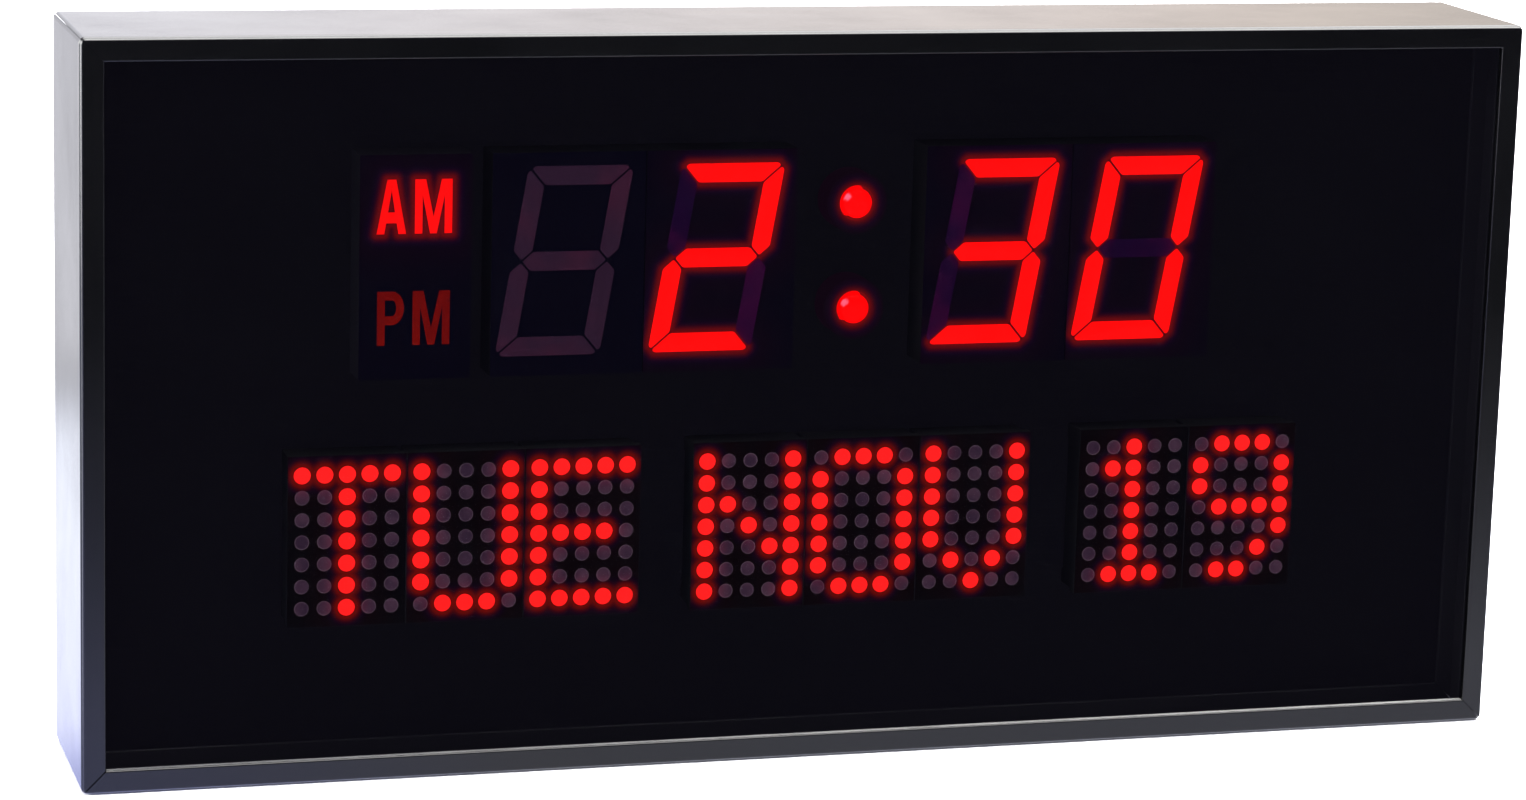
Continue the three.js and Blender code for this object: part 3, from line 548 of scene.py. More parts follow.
def ribbon_grey():
    """Ribbon cable: grey insulation with a groove between its wires."""
    f = Finish("cable_grey", (0.42, 0.42, 0.44), 0.45)
    wires = {"Vector": f.place(), "Scale": 2 / WIRE_PITCH / 6.2832, "Distortion": 0.0}
    wave = f.node("TexWave", wires, wave_type="BANDS", bands_direction="X").outputs["Fac"]
    cloud = f.noise(8 * MM, 2)
    f.set("Base Color", f.mix(cloud, (0.36, 0.36, 0.38), (0.48, 0.48, 0.5)))
    f.set("Roughness", f.spread(cloud, 0.3, 0.7, 0.4, 0.55))
    f.bump(wave, 0.25 * MM, 0.8)
    return f.material


# Pieces

def finish_piece(name, bm, materials, stands_for=(), body="case", corner=30, weighted=False):
    """Makes a closed bmesh a piece of the clock that rides on a body."""
    bmesh.ops.recalc_face_normals(bm, faces=bm.faces)
    mesh = bpy.data.meshes.new(name)
    bm.to_mesh(mesh)
    bm.free()
    for material in materials if isinstance(materials, list) else [materials]:
        mesh.materials.append(material)
    mesh.shade_smooth()
    mesh.set_sharp_from_angle(angle=math.radians(corner))
    obj = bpy.data.objects.new(name, mesh)
    bpy.context.scene.collection.objects.link(obj)
    if weighted:
        modifier = obj.modifiers.new("even_normals", "WEIGHTED_NORMAL")
        modifier.keep_sharp = True
    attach(obj, body)
    if stands_for:
        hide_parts(*stands_for)
    return obj


def cad_copy(node):
    """A bmesh of a CAD node with its doubled points merged and its flat faces made whole."""
    bm = bmesh.new()
    bm.from_mesh(frame["nodes"][node].data)
    bmesh.ops.remove_doubles(bm, verts=bm.verts, dist=0.002 * MM)
    bmesh.ops.dissolve_limit(bm, angle_limit=math.radians(1), verts=bm.verts, edges=bm.edges)
    return bm


def box_middle(node):
    """A node's box, and its middle on X and Z."""
    low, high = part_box(node)
    return low, high, (low.x + high.x) / 2, (low.z + high.z) / 2


def block(low, high):
    bm = bmesh.new()
    bmesh.ops.create_cube(bm, size=1)
    bmesh.ops.scale(bm, vec=Vector(high) - Vector(low), verts=bm.verts)
    bmesh.ops.translate(bm, vec=(Vector(high) + Vector(low)) / 2, verts=bm.verts)
    return bm


def soften(bm, edges, radius, segments=2):
    bmesh.ops.bevel(bm, geom=edges, affect="EDGES", offset=radius, segments=segments, profile=0.5,
                    material=-1, clamp_overlap=True)


# Case

def section_corners():
    """The extrusion's section: each corner's place on Y, its reach in from the outer face, and its
    rounding."""
    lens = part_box("front_lens")
    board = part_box("display_board")
    cover_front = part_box("power_socket_nut")[1].y + 0.2 * MM
    bezel_back = FRONT + BEZEL_THICKNESS
    ledge = cover_front - GAP - LEDGE_THICKNESS
    fins = [
        (lens[1].y + GAP, FIN, LENS_FIN_REACH),
        (board[0].y - GAP - FIN, FIN, BOARD_FIN_REACH),
        (board[1].y + GAP, FIN, BOARD_FIN_REACH),
        (ledge, LEDGE_THICKNESS, LEDGE_REACH),
    ]
    corners = [
        (FRONT + RIM_DEPTH, 0, RIM_EDGE),
        (FRONT + RIM_DEPTH - RIM_STEP, RIM_STEP, STEP_ROUND),
        (FRONT, RIM_STEP, BEAD_RADIUS),
        (FRONT, BEZEL, INNER_ARRIS),
        (bezel_back, BEZEL, FIN_ROUND),
        (bezel_back, WALL, 0),
    ]
    for y, thickness, reach in fins:
        corners += [
            (y, WALL, 0),
            (y, reach, FIN_ROUND),
            (y + thickness, reach, FIN_ROUND),
            (y + thickness, WALL, 0),
        ]
    corners += [
        (REAR - WALL, WALL, REAR_RADIUS - WALL),
        (REAR - WALL, REAR_LIP, 0.3 * MM),
        (REAR, REAR_LIP, 0.4 * MM),
        (REAR, 0, REAR_RADIUS),
    ]
    return corners


def section_face(x):
    """The section as one face across X, with its corners rounded."""
    bm = bmesh.new()
    corners = section_corners()
    face = bm.faces.new([bm.verts.new((x, y, reach)) for y, reach, _ in corners])
    face.normal_update()
    points = list(bm.verts)
    for point, (_, _, radius) in zip(points, corners):
        if radius:
            steps = 8 if radius > 0.5 * MM else 4
            bmesh.ops.bevel(bm, geom=[point], affect="VERTICES", offset=radius, segments=steps,
                            profile=0.5, material=-1, clamp_overlap=False)
    return bm


def cut_end(bm, length, gap):
    """Mitres the end at -X, and adds the cuts that the rounded corner bends along."""
    corner = Vector((-length / 2, 0, 0))
    hinge = corner + Vector((CORNER_RADIUS, 0, CORNER_RADIUS))
    for step in range(CORNER_STEPS):
        lean = Vector((hinge.x - CORNER_RADIUS * step / CORNER_STEPS, 0, 0)) - hinge
        normal = lean.cross(Vector((0, 1, 0))).normalized()
        whole = [*bm.verts, *bm.edges, *bm.faces]
        bmesh.ops.bisect_plane(bm, geom=whole, dist=1e-8, plane_co=hinge, plane_no=normal)
    start = corner + Vector((gap, 0, 0))
    whole = [*bm.verts, *bm.edges, *bm.faces]
    cut = bmesh.ops.bisect_plane(bm, geom=whole, dist=1e-8, plane_co=start,
                                 plane_no=Vector((1, 0, -1)).normalized(), clear_inner=True)
    rim = [e for e in cut["geom_cut"] if isinstance(e, bmesh.types.BMEdge)]
    bmesh.ops.edgeloop_fill(bm, edges=rim)


def round_corner(bm, length):
    """Bends what lies between the corner and its radius onto the arc."""
    for v in bm.verts:
        side = -1 if v.co.x < 0 else 1
        reach = CORNER_RADIUS - v.co.z
        along = abs(v.co.x) - (length / 2 - CORNER_RADIUS)
        if reach > 1e-7 and along > 1e-7:
            angle = along / reach * math.pi / 4
            v.co.x = side * (length / 2 - CORNER_RADIUS + reach * math.sin(angle))
            v.co.z = CORNER_RADIUS - reach * math.cos(angle)


def extrusion(name, node, length, place, turn, gaps, materials):
    """One side of the case, mitred at both ends. The materials are the coat, the lip of the bezel and
    what shows through the lens. The bottom lip's material is a painted highlight, and what shows
    through the lens carries an even painted glow."""
    bm = section_face(-length / 2 - MM)
    swept = bmesh.ops.extrude_face_region(bm, geom=list(bm.faces))
    moved = [v for v in swept["geom"] if isinstance(v, bmesh.types.BMVert)]
    bmesh.ops.translate(bm, vec=(length + 2 * MM, 0, 0), verts=moved)
    bmesh.ops.recalc_face_normals(bm, faces=bm.faces)
    for gap in gaps:
        cut_end(bm, length, gap)
        bmesh.ops.rotate(bm, cent=(0, 0, 0), matrix=Matrix.Rotation(math.pi, 3, "Z"), verts=bm.verts)
        bmesh.ops.scale(bm, vec=(1, -1, 1), verts=bm.verts)
        bmesh.ops.reverse_faces(bm, faces=bm.faces)
    round_corner(bm, length)
    bm.normal_update()
    behind_lens, board_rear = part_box("front_lens")[1].y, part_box("display_board")[1].y
    for face in bm.faces:
        spot = face.calc_center_median()
        on_lip = abs(spot.z - BEZEL) < 0.01 * MM and spot.y < FRONT + BEZEL_THICKNESS
        if face.normal.z > 0.99 and on_lip:
            face.material_index = LIP
        elif max(face.normal.z, -face.normal.y) > 0.5 and behind_lens < spot.y < board_rear:
            face.material_index = INSIDE
    bmesh.ops.rotate(bm, cent=(0, 0, 0), matrix=Matrix.Rotation(turn, 3, "Y"), verts=bm.verts)
    bmesh.ops.translate(bm, vec=place, verts=bm.verts)
    finish_piece(name, bm, materials, [node], weighted=True)


def build_case():
    black = satin_black()
    # The faces seen through the lens carry an even painted glow
    inside = moulded_black("inside_black", INNER_BLACK, painted_glow=INNER_PAINTED_GLOW)
    painted = [black, black, inside]
    g = MITRE_GAPS
    middle = CASE_LOW.z + HEIGHT / 2
    extrusion("bottom_extrusion", "frame_bottom", WIDTH, (0, 0, CASE_LOW.z), 0,
              (g["lower_left"], g["lower_right"]), [black, lip_painted_highlight(), inside])
    extrusion("top_extrusion", "frame_top", WIDTH, (0, 0, CASE_HIGH.z), math.pi,
              (g["upper_right"], g["upper_left"]), painted)
    extrusion("left_extrusion", "frame_left", HEIGHT, (CASE_LOW.x, 0, middle), math.pi / 2,
              (g["upper_left"], g["lower_left"]), painted)
    extrusion("right_extrusion", "frame_right", HEIGHT, (CASE_HIGH.x, 0, middle), -math.pi / 2,
              (g["lower_right"], g["upper_right"]), painted)


def build_lens():
    bm = block(*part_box("front_lens"))
    soften(bm, bm.edges[:], 0.3 * MM, 3)
    finish_piece("lens_pane", bm, smoked(), ["front_lens"])


# Display faces

def distance_to_segments(points, ends):
    """The distance from each of the points to the nearest of the line pieces, all as (x, z)."""
    best = np.full(len(points), 1e9)
    for start, end in ends:
        start, end = np.array(start), np.array(end)
        way = end - start
        t = np.clip((points - start) @ way / (way @ way), 0, 1)
        gaps = points - (start + t[:, None] * way)
        best = np.minimum(best, np.hypot(gaps[:, 0], gaps[:, 1]))
    return best


def outline_distance(points, outlines):
    """The distance to the nearest outline, 0 inside it."""
    best = np.full(len(points), 99.0 * MM)
    for outline in outlines:
        ends = list(zip(outline, outline[1:] + outline[:1]))
        gaps = distance_to_segments(points, ends)
        inside = np.zeros(len(points), bool)
        for (x0, z0), (x1, z1) in ends:
            spans = (points[:, 1] < z0) != (points[:, 1] < z1)
            with np.errstate(divide="ignore", invalid="ignore"):
                cross = (x1 - x0) * (points[:, 1] - z0) / (z1 - z0) + x0
            inside ^= spans & (points[:, 0] < cross)
        best = np.minimum(best, np.where(inside, 0, gaps))
    return best


def dots_distance(points, spots, radius):
    """The distance to the edge of the nearest round spot."""
    best = np.full(len(points), 99.0 * MM)
    for x, z in spots:
        gaps = np.hypot(points[:, 0] - x, points[:, 1] - z) - radius
        best = np.minimum(best, np.maximum(gaps, 0))
    return best


def mark_distance(bm, layer_name, measure):
    """Writes a distance, in millimetres, on each point of a piece."""
    layer = bm.verts.layers.float.new(layer_name)
    points = np.array([(v.co.x, v.co.z) for v in bm.verts])
    for v, gap in zip(bm.verts, measure(points)):
        v[layer] = gap / MM


def face_film(name, node, material, measure, margin=0.0):
    """A thin face over the front of a display part, fine enough to carry the painted glow on it."""
    low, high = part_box(node)
    x0, x1, z0, z1 = low.x + margin, high.x - margin, low.z + margin, high.z - margin
    back = low.y - FILM_GAP
    bm = bmesh.new()
    columns, rows = round((x1 - x0) / FACE_STEP), round((z1 - z0) / FACE_STEP)
    bmesh.ops.create_grid(bm, x_segments=columns, y_segments=rows, size=0.5,
                          matrix=Matrix.Rotation(math.pi / 2, 4, "X"))
    bmesh.ops.scale(bm, vec=(x1 - x0, 1, z1 - z0), verts=bm.verts)
    bmesh.ops.translate(bm, vec=((x0 + x1) / 2, back, (z0 + z1) / 2), verts=bm.verts)
    raised = bmesh.ops.extrude_face_region(bm, geom=list(bm.faces))
    front_points = [v for v in raised["geom"] if isinstance(v, bmesh.types.BMVert)]
    bmesh.ops.translate(bm, vec=(0, -FILM, 0), verts=front_points)
    mark_distance(bm, "lamp_distance", measure)
    return finish_piece(name, bm, material)


def film_front(node):
    """Where the parts that stand on a film begin."""
    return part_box(node)[0].y - FILM_GAP - FILM + SINK


# Seven-segment digits

def front_outlines(node):
    """The flat front faces of a CAD node, each as its corner points from the merged mesh."""
    bm = bmesh.new()
    bm.from_mesh(frame["nodes"][node].data)
    bmesh.ops.remove_doubles(bm, verts=bm.verts, dist=0.002 * MM)
    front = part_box(node)[0].y
    back = [f for f in bm.faces if any(v.co.y > front + 0.02 * MM for v in f.verts)]
    bmesh.ops.delete(bm, geom=back, context="FACES")
    bmesh.ops.dissolve_limit(bm, angle_limit=math.radians(1), verts=bm.verts, edges=bm.edges)
    outlines = [[(v.co.x, v.co.z) for v in f.verts] for f in bm.faces]
    bm.free()
    return outlines


def name_bars(outlines):
    """Tells the seven bars apart by where their middles are."""
    def middle(outline):
        return Vector((sum(x for x, _ in outline), sum(z for _, z in outline))) / len(outline)

    by_height = sorted(outlines, key=lambda o: middle(o).y)
    pair = lambda two: sorted(two, key=lambda o: middle(o).x)
    lower, upper = pair(by_height[1:3]), pair(by_height[4:6])
    return {
        "bottom": by_height[0], "middle": by_height[3], "top": by_height[6],
        "lower_left": lower[0], "lower_right": lower[1],
        "upper_left": upper[0], "upper_right": upper[1],
    }


def raised_outlines(bm, outlines, y, rise, softening, side=-1):
    """Low blocks of these outlines that rise towards this side on Y, with round corners and a soft
    rim. Outlines that share an edge make one block."""
    for outline in outlines:
        bm.faces.new([bm.verts.new((x, y, z)) for x, z in outline])
    bmesh.ops.remove_doubles(bm, verts=bm.verts, dist=0.01 * MM)
    if softening:
        bmesh.ops.bevel(bm, geom=list(bm.verts), affect="VERTICES", offset=softening, segments=3,
                        profile=0.5, material=-1, clamp_overlap=True)
    up = bmesh.ops.extrude_face_region(bm, geom=list(bm.faces))
    top = [f for f in up["geom"] if isinstance(f, bmesh.types.BMFace)]
    lifted = [v for v in up["geom"] if isinstance(v, bmesh.types.BMVert)]
    bmesh.ops.translate(bm, vec=(0, side * rise * UPRIGHT_SHARE, 0), verts=lifted)
    bmesh.ops.recalc_face_normals(bm, faces=bm.faces)
    bmesh.ops.inset_region(bm, faces=top, thickness=rise * RIM_SHARE, depth=0.0, use_even_offset=True)
    inner = {v for f in top for v in f.verts}
    bmesh.ops.translate(bm, vec=(0, side * rise * (1 - UPRIGHT_SHARE), 0), verts=list(inner))


def slice_up(bm, step):
    """Cuts a piece across X and Z at this step, so that it has points to carry the painted glow on."""
    for axis in (Vector((1, 0, 0)), Vector((0, 0, 1))):
        places = [v.co.dot(axis) for v in bm.verts]
        for i in range(1, math.ceil((max(places) - min(places)) / step)):
            whole = [*bm.verts, *bm.edges, *bm.faces]
            bmesh.ops.bisect_plane(bm, geom=whole, dist=1e-7, plane_co=axis * (min(places) + i * step),
                                   plane_no=axis)


def build_digits(lit, dark, face_black):
    """Raised bars on a face, lit or dark. The dark finish, with its painted glow, goes by whether its
    digit has lit bars.
    """
    for number, character in enumerate(DIGITS, 1):
        node = f"digit_{number}_segments"
        bars = name_bars(front_outlines(node))
        groups = {"lit": [], "dark": []}
        for bar, outline in bars.items():
            groups["lit" if bar in BARS_OF[character] else "dark"].append(outline)
        lamp_distance = lambda points: outline_distance(points, groups["lit"])
        face_film(f"digit_{number}_face", f"digit_{number}_housing", face_black, lamp_distance)
        for kind, outlines in groups.items():
            if outlines:
                bm = bmesh.new()
                raised_outlines(bm, outlines, film_front(node), BAR_RISE, BAR_SOFTENING)
                if kind == "dark" and groups["lit"]:
                    slice_up(bm, BAR_SLICE)
                mark_distance(bm, "lamp_distance", lamp_distance)
                material = lit if kind == "lit" else dark[bool(groups["lit"])]
                name = f"digit_{number}_{kind}_bars"
                finish_piece(name, bm, material, [node], corner=40)


# Indicator letters, colon lamps and dots

def mirrored(outline):
    return [(1 - u, v) for u, v in reversed(outline)]


def letter_outlines(character):
    """A condensed bold capital in a unit square, as outlines that share edges."""
    if character == "A":
        half = [(0, 0), (0.35, 1), (0.5, 1), (0.5, 0.80), (0.385, 0.40), (0.5, 0.40), (0.5, 0.20),
                (0.325, 0.20), (0.26, 0)]
        return [half, mirrored(half)]
    if character == "M":
        half = [(0, 0), (0, 1), (0.29, 1), (0.5, 0.31), (0.5, 0), (0.41, 0), (0.205, 0.70),
                (0.205, 0)]
        return [half, mirrored(half)]
    return p_outlines()


def p_outlines():
    """A bold P as its stem and its bowl."""
    stem, top, bottom, bar = 0.29, 1.0, 0.38, 0.165
    middle = (top + bottom) / 2
    outer = (top - bottom) / 2
    turn, reach_out, reach_in, steps = 0.56, 0.44, 0.15, 12
    angles = [math.pi / 2 - math.pi * i / steps for i in range(steps + 1)]
    arc_out = [(turn + reach_out * math.cos(a), middle + outer * math.sin(a)) for a in angles]
    arc_in = [(turn + reach_in * math.cos(a), middle + (outer - bar) * math.sin(a)) for a in angles]
    low_bar, high_bar = bottom + bar, top - bar
    bowl = [(stem, top), *arc_out, (stem, bottom), (stem, low_bar), *arc_in[::-1], (stem, high_bar)]
    stem_edge = [(stem, top), (stem, high_bar), (stem, low_bar), (stem, bottom), (stem, 0)]
    return [[(0, 0), (0, top), *stem_edge], bowl]


def word_outlines(word, centre, height):
    x = centre.x - (sum(LETTER_WIDTHS[c] for c in word) + LETTER_SPACE * (len(word) - 1)) / 2
    outlines = []
    for character in word:
        width = LETTER_WIDTHS[character]
        for outline in letter_outlines(character):
            outlines.append([(x + u * width, centre.y + (v - 0.5) * height) for u, v in outline])
        x += width + LETTER_SPACE
    return outlines


def build_indicator(lit, dark, face_black):
    node = "indicator_window"
    lower, upper = sorted(front_outlines(node), key=lambda o: min(z for _, z in o))
    words = {}
    for word, window in (("AM", upper), ("PM", lower)):
        xs, zs = zip(*window)
        centre = Vector(((min(xs) + max(xs)) / 2 - LETTER_SHIFT, (min(zs) + max(zs)) / 2))
        words[word] = word_outlines(word, centre, LETTER_HEIGHT)
    lamp_distance = lambda points: outline_distance(points, words["AM"])
    face_film("indicator_face", "indicator_housing", face_black, lamp_distance)
    for word, kind, material in (("AM", "lit", lit), ("PM", "dark", dark)):
        bm = bmesh.new()
        raised_outlines(bm, words[word], film_front(node), LETTER_RISE, 0)
        mark_distance(bm, "lamp_distance", lamp_distance)
        name = f"indicator_{word.lower()}_{kind}"
        finish_piece(name, bm, material, [node], corner=40)


def turned(profile, x=0.0, z=0.0, steps=48):
    """A solid of revolution round a line along Y, from (radius, y) points that start and end on it."""
    bm = bmesh.new()
    points = [bm.verts.new((radius, y, 0)) for radius, y in profile]
    for one, other in zip(points, points[1:]):
        bm.edges.new((one, other))
    bmesh.ops.spin(bm, geom=[*bm.verts, *bm.edges], cent=(0, 0, 0), axis=(0, 1, 0), angle=2 * math.pi,
                   steps=steps, use_merge=True)
    bmesh.ops.remove_doubles(bm, verts=bm.verts, dist=0.001 * MM)
    bmesh.ops.translate(bm, vec=(x, 0, z), verts=bm.verts)
    return bm


def build_colon(lit, face_black):
    """Domed lamps with a painted glint, each in a black spacer whose face carries a painted halo of the
    lamp's light.
    """
    for name in ("upper", "lower"):
        node = f"colon_lamp_{name}"
        low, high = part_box(node)
        centre = (low + high) / 2 + LAMP_SHIFT
        shoulder = low.y + DOME_RISE
        arc = [math.pi / 2 * i / LAMP_STEPS for i in range(LAMP_STEPS + 1)]
        dome = [(LAMP_RADIUS * math.sin(a), shoulder - DOME_RISE * math.cos(a)) for a in arc]
        flange = high.y - LAMP_FLANGE
        foot_radius = (high.x - low.x) / 2
        foot = [(LAMP_RADIUS, flange), (foot_radius, flange), (foot_radius, high.y), (0, high.y)]
        bm = turned([(0, dome[0][1]), *dome[1:], *foot], centre.x, centre.z)
        # The painted glint, a painted highlight, sits round this point on each dome
        glint = Vector((centre.x, shoulder, centre.z)) + LAMP_RADIUS * GLINT_SIDE.normalized()
        layer = bm.verts.layers.float.new("glint_distance")
        for v in bm.verts:
            v[layer] = (v.co - glint).length / MM
        finish_piece(f"colon_{name}_dome", bm, lit, [node])

        inner, outer = foot_radius + 0.1 * MM, SPACER_RADIUS
        face, back = shoulder + 0.3 * MM, high.y
        rings = [inner + (outer - inner) * i / SPACER_STEPS for i in range(SPACER_STEPS + 1)]
        ring = [(radius, face) for radius in rings] + [(outer, back), (inner, back), (inner, face)]
        bm = turned(ring, centre.x, centre.z)
        mark_distance(bm, "lamp_distance",
                      lambda points: dots_distance(points, [(centre.x, centre.z)], LAMP_RADIUS))
        finish_piece(f"colon_{name}_spacer", bm, face_black)


def dot_centres(node):
    """The middles of a module's dots, row by row from the top left."""
    low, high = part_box(node)
    centre = (low + high) / 2
    columns = [centre.x + (c - (DOT_COLUMNS - 1) / 2) * DOT_PITCH for c in range(DOT_COLUMNS)]
    rows = [centre.z + ((DOT_ROWS - 1) / 2 - r) * DOT_PITCH for r in range(DOT_ROWS)]
    return [[(x, z) for x in columns] for z in rows]


def dot_group(name, spots, radius, y, materials, lamp_distance):
    """Round dots, each with a rim round a shallow dome. The rims take the second material."""
    bm = bmesh.new()
    turn = Matrix.Rotation(math.pi / 2, 4, "X")
    for x, z in spots:
        bmesh.ops.create_circle(bm, cap_ends=True, segments=DOT_SIDES, radius=radius,
                                matrix=Matrix.Translation((x, y, z)) @ turn)
    up = bmesh.ops.extrude_discrete_faces(bm, faces=list(bm.faces))
    bmesh.ops.translate(bm, vec=(0, -DOT_RISE, 0), verts=[v for f in up["faces"] for v in f.verts])
    bmesh.ops.recalc_face_normals(bm, faces=bm.faces)
    rim = bmesh.ops.inset_individual(bm, faces=up["faces"], thickness=DOT_RIM, depth=0.0)
    for face in rim["faces"]:
        face.material_index = len(materials) - 1
    bmesh.ops.inset_individual(bm, faces=up["faces"], thickness=DOT_GROOVE, depth=-DOT_GROOVE_DEPTH)
    bmesh.ops.inset_individual(bm, faces=up["faces"], thickness=DOME_INSET, depth=DOME_HEIGHT)
    mark_distance(bm, "lamp_distance", lamp_distance)
    return finish_piece(name, bm, materials, corner=35)


def build_dots(lit, dark, face_black):
    for number, character in enumerate(DOT_TEXT, 1):
        node = f"matrix_{number}"
        spots = {"lit": [], "dark": []}
        for row, marks in zip(dot_centres(node), DOT_LETTERS[character]):
            for spot, mark in zip(row, marks):
                spots["lit" if mark == "#" else "dark"].append(spot)
        lamp_distance = lambda points: dots_distance(points, spots["lit"], DOT_RADII["lit"])
        face_film(f"matrix_{number}_face", node, face_black, lamp_distance, margin=0.12 * MM)
        for kind, materials in (("lit", lit), ("dark", dark)):
            name = f"matrix_{number}_{kind}_dots"
            dot_group(name, spots[kind], DOT_RADII[kind], film_front(node), materials, lamp_distance)


def build_display():
    lit = lit_red("lit_bars")
    # The unlit parts' emission is a painted glow; bars in a digit with lit bars get their own painted
    # glow
    bars = {
        False: unlit_diffuser("unlit_bars", (0.032, 0.013, 0.034), (0.058, 0.014, 0.038), 14 * MM),
        True: unlit_diffuser("unlit_bars_near_lit", (0.010, 0.0005, 0.026), (0.038, 0.001, 0.034),
                             14 * MM, 0.04),
    }
    dots = [
        unlit_diffuser("unlit_dots", (0.040, 0.020, 0.044), (0.080, 0.038, 0.068), 9 * MM, 0.11, 3.0),
        unlit_diffuser("unlit_dot_rims", (0.070, 0.044, 0.070), (0.115, 0.075, 0.105), 5 * MM,
                       0.11, 3.0),
    ]
    letters = unlit_diffuser("unlit_letters", (0.18, 0.002, 0.001), (0.22, 0.003, 0.001), 8 * MM)
    # Painted glows on the display faces: even violet, and red round the lit parts
    digit_face = glowing_face("digit_face_black", (0.0006, 0.0001, 0.0058), 1.35)
    dot_face = glowing_face("dot_face_black", (0.0, 0.0, 0.0006), 1.3)
    lamp_face = glowing_face("lamp_face_black", (0.0032, 0.0029, 0.0056), 1.5)
    build_digits(lit, bars, digit_face)
    build_indicator(lit_red("lit_letters", 1.75, 0.001), letters, digit_face)
    build_colon(lamp_red(), lamp_face)
    build_dots([lit_red("lit_dots", 2.3, 0.010)], dots, dot_face)


# Back

def softened_copy(name, node, material, radius, body="case", segments=2):
    """A CAD node's shape with its sharp edges rounded a little."""
    bm = cad_copy(node)
    bend = math.radians(35)
    sharp = [e for e in bm.edges if len(e.link_faces) == 2 and e.calc_face_angle(0) > bend]
    soften(bm, sharp, radius, segments)
    return finish_piece(name, bm, material, [node], body, weighted=True)


def paint_cad_nodes():
    """Gives each CAD node that stays in sight its finish."""
    # module_black carries an even painted glow in place of the light it scatters back
    finishes = {
        "module_black": moulded_black("module_black", INNER_BLACK, painted_glow=(0.0, 0.0, 0.0006)),
        "circuit_board": solder_mask("board_green", (0.02, 0.10, 0.04), (0.035, 0.16, 0.06)),
        "chip_black": moulded_black("chip_black", (0.012, 0.012, 0.012), 0.3 * MM),
        "steel": bright_steel("zinc_plated_steel"),
        "cover_black": moulded_black("cover_black"),
        "button_grey": moulded_black("button_grey", (0.045, 0.045, 0.05)),
        "cable_grey": ribbon_grey(),
        "red_diffuser": unlit_diffuser("red_diffuser", (0.10, 0.003, 0.006), (0.14, 0.006, 0.006),
                                       6 * MM),
    }
    # The display board and the indicator housing carry an even painted glow in place of the light they
    # scatter back
    board_black = solder_mask("board_black", (0.0008, 0.0008, 0.0011), (0.0011, 0.0011, 0.0014),
                              painted_glow=INNER_PAINTED_GLOW, gloss=0.005)
    special = {
        "display_board": board_black,
        "indicator_housing": moulded_black("indicator_black", INNER_BLACK,
                                           painted_glow=(0.0026, 0.0023, 0.0044)),
    }
    for part in frame["record"]["subparts"]:
        node, slot = part["node"], part["material_slot"]
        if slot in finishes:
            for held in frame["nodes"][node].material_slots:
                held.material = special.get(node, finishes[slot])
    return finishes


def build_screws(steel):
    """Pan-head screws with a cross recess."""
    for number in range(1, 7):
        node = f"cover_screw_{number}"
        low, high, x, z = box_middle(node)
        head = (high.x - low.x) / 2
        under = high.y - SCREW_HEAD
        crown = [(head * u, high.y - SCREW_HEAD * v) for u, v in SCREW_CROWN]
        shank = [(head, under), (SCREW_SHANK, under), (SCREW_SHANK, low.y + 0.6 * MM)]
        tip = [(0.8 * MM, low.y), (0, low.y)]
        bm = turned(crown + shank + tip, x, z)
        rim = [e for e in bm.edges if e.is_boundary]
        a, b = CROSS_HALF, CROSS_REACH
        corners = [(a, b), (a, a), (b, a), (b, -a), (a, -a), (a, -b)]
        corners += [(-u, -v) for u, v in corners]
        points = [bm.verts.new((x + u, high.y, z + v)) for u, v in corners]
        cross = [bm.edges.new((p, q)) for p, q in zip(points, points[1:] + points[:1])]
        bmesh.ops.triangle_fill(bm, use_beauty=True, use_dissolve=False, edges=rim + cross)
        sunk = bmesh.ops.extrude_edge_only(bm, edges=cross)["geom"]
        floor = [v for v in sunk if isinstance(v, bmesh.types.BMVert)]
        bmesh.ops.translate(bm, vec=(0, -CROSS_DEPTH, 0), verts=floor)
        bmesh.ops.scale(bm, vec=(CROSS_TAPER, 1, CROSS_TAPER), verts=floor,
                        space=Matrix.Translation((-x, 0, -z)))
        bmesh.ops.edgeloop_fill(bm, edges=[e for e in sunk if isinstance(e, bmesh.types.BMEdge)])
        finish_piece(f"{node}_pan_head", bm, steel, [node])


def build_buttons(grey):
    """Caps with a dished top over a collar and a stem."""
    for name in ("set", "up", "down", "mode"):
        node = f"button_{name}"
        low, high, x, z = box_middle(node)
        top, collar = high.y, (high.x - low.x) / 2
        r = BUTTON_RADIUS
        parts = (0, 0.2, 0.4, 0.6, 0.75, DISH_EDGE)
        dish = [(r * u, top - BUTTON_DISH * (1 - (u / DISH_EDGE) ** 2)) for u in parts]
        side = [(r - 0.15 * MM, top - 0.05 * MM), (r, top - 0.3 * MM), (r, COLLAR_REAR)]
        front = COLLAR_REAR - COLLAR_THICKNESS
        flange = [(collar, COLLAR_REAR), (collar, front), (STEM_RADIUS, front)]
        foot = [(STEM_RADIUS, low.y), (0, low.y)]
        bm = turned(dish + side + flange + foot, x, z)
        finish_piece(f"{node}_cap", bm, grey, [node], node)


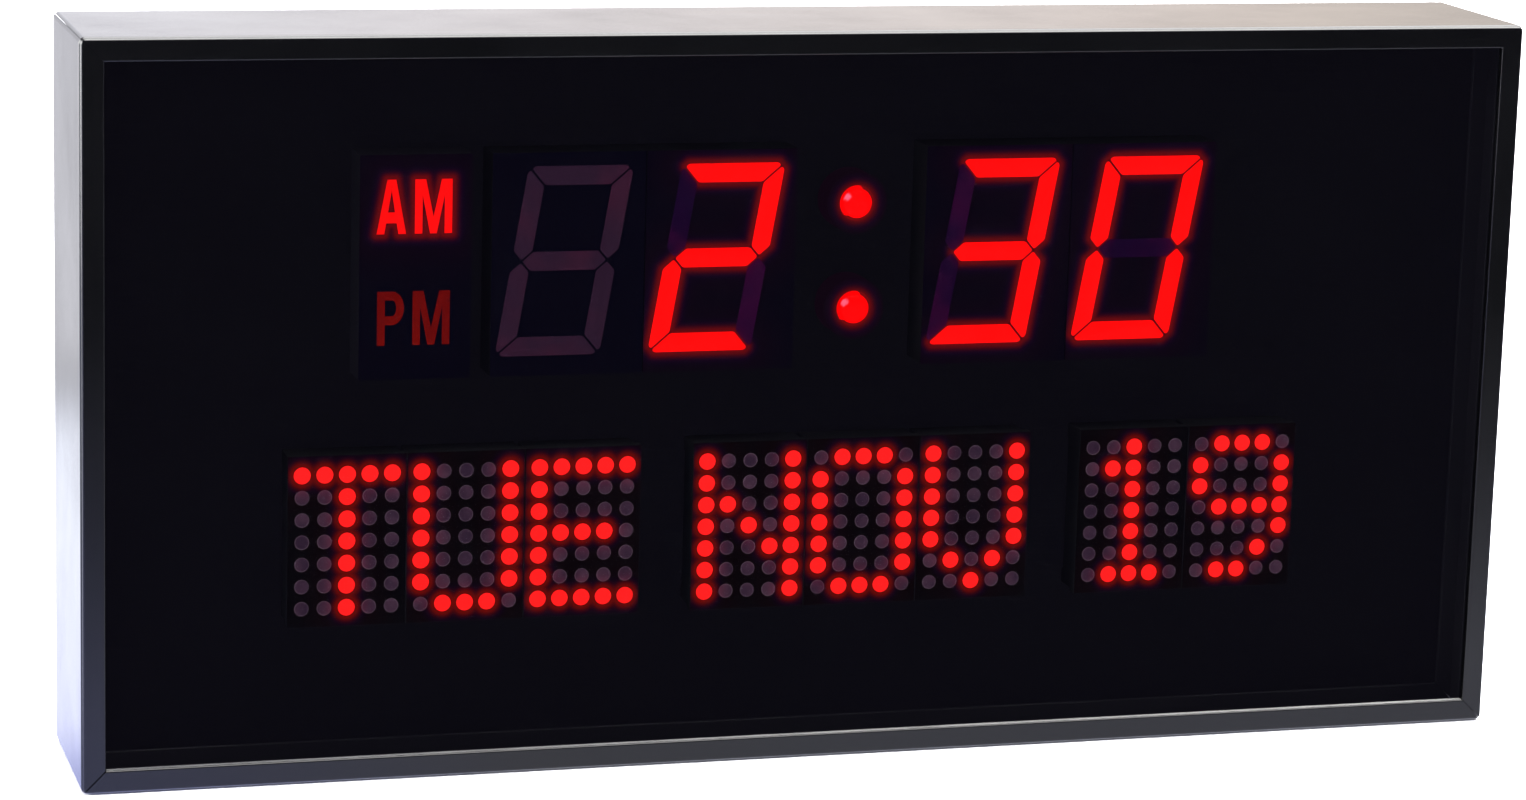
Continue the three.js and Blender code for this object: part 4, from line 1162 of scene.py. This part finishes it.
def build_button_marks(pale):
    """Raised generic signs beside the buttons: up, down, a square and two bars."""
    signs = {
        "up": [[(-1, -0.8), (1, -0.8), (0, 0.9)]],
        "down": [[(-1, 0.8), (0, -0.9), (1, 0.8)]],
        "set": [[(-0.8, -0.8), (0.8, -0.8), (0.8, 0.8), (-0.8, 0.8)]],
        "mode": [[(-1, 0.25), (1, 0.25), (1, 0.8), (-1, 0.8)],
                 [(-1, -0.8), (1, -0.8), (1, -0.25), (-1, -0.25)]],
    }
    bm = bmesh.new()
    for name, outlines in signs.items():
        _, high, x, _ = box_middle(f"button_{name}")
        z = high.z + SIGN_HEIGHT
        for outline in outlines:
            sign = bmesh.new()
            placed = [(x + u * SIGN_SIZE, z + v * SIGN_SIZE) for u, v in outline]
            raised_outlines(sign, [placed], COVER_REAR - SINK, SIGN_RISE + SINK, SIGN_SOFTENING,
                            side=1)
            mesh = bpy.data.meshes.new("sign")
            sign.to_mesh(mesh)
            sign.free()
            bm.from_mesh(mesh)
            bpy.data.meshes.remove(mesh)
    finish_piece("button_signs", bm, pale)


def build_power_socket(black):
    """The flanged barrel with its contact pin."""
    low, high, x, z = box_middle("power_socket")
    flange, rear, floor = (high.x - low.x) / 2, high.y, high.y - SOCKET_DEPTH
    bore, barrel, step, cut = SOCKET_BORE, SOCKET_BARREL, COVER_REAR + 0.1 * MM, SOCKET_CHAMFER
    pin = [(0, rear - MM), (0.7 * MM, rear - MM), (MM, rear - 1.4 * MM), (MM, floor)]
    inside = [(bore, floor), (bore, rear - cut), (bore + cut, rear), (flange - cut, rear)]
    outside = [(flange, rear - cut), (flange, step), (barrel, step), (barrel, low.y), (0, low.y)]
    bm = turned(pin + inside + outside, x, z)
    finish_piece("power_socket_barrel", bm, black, ["power_socket"])


def build_cell(steel, black):
    """The coin cell with its rolled rim, in its holder."""
    low, high, x, z = box_middle("coin_cell")
    r, rim, rear = (high.x - low.x) / 2, CELL_RIM, high.y
    lower = rear - 0.12 * MM
    face = [(0, rear), (r - 1.6 * MM, rear), (r - 1.3 * MM, lower), (r - 0.5 * MM, lower)]
    edge = [(r - 0.15 * MM, rear - 0.25 * MM), (r, rear - 0.6 * MM), (r, low.y + rim)]
    front = [(r - rim, low.y + rim), (r - rim, low.y), (0, low.y)]
    finish_piece("coin_cell_can", turned(face + edge + front, x, z), steel, ["coin_cell"])
    softened_copy("cell_cup", "cell_holder", black, 0.2 * MM)


def build_back(finishes):
    black, steel = finishes["cover_black"], finishes["steel"]
    softened_copy("cover_moulding", "rear_cover", black, 0.25 * MM)
    softened_copy("battery_door_plate", "battery_door", black, 0.25 * MM,
                  "battery_door")
    for side in ("left", "right"):
        leg = f"leg_{side}"
        softened_copy(f"{leg}_moulding", leg, black, 0.4 * MM, leg, 3)
        softened_copy(f"leg_{side}_hinge_pin", f"leg_pin_{side}", steel, 0.2 * MM)
    build_screws(steel)
    build_buttons(finishes["button_grey"])
    build_button_marks(finishes["button_grey"])
    build_power_socket(finishes["chip_black"])
    build_cell(steel, finishes["chip_black"])


make_camera()
light_the_world()
lay_the_floor()
finishes = paint_cad_nodes()
build_case()
build_lens()
build_display()
build_back(finishes)
bpy.context.scene.view_settings.view_transform = "Standard"
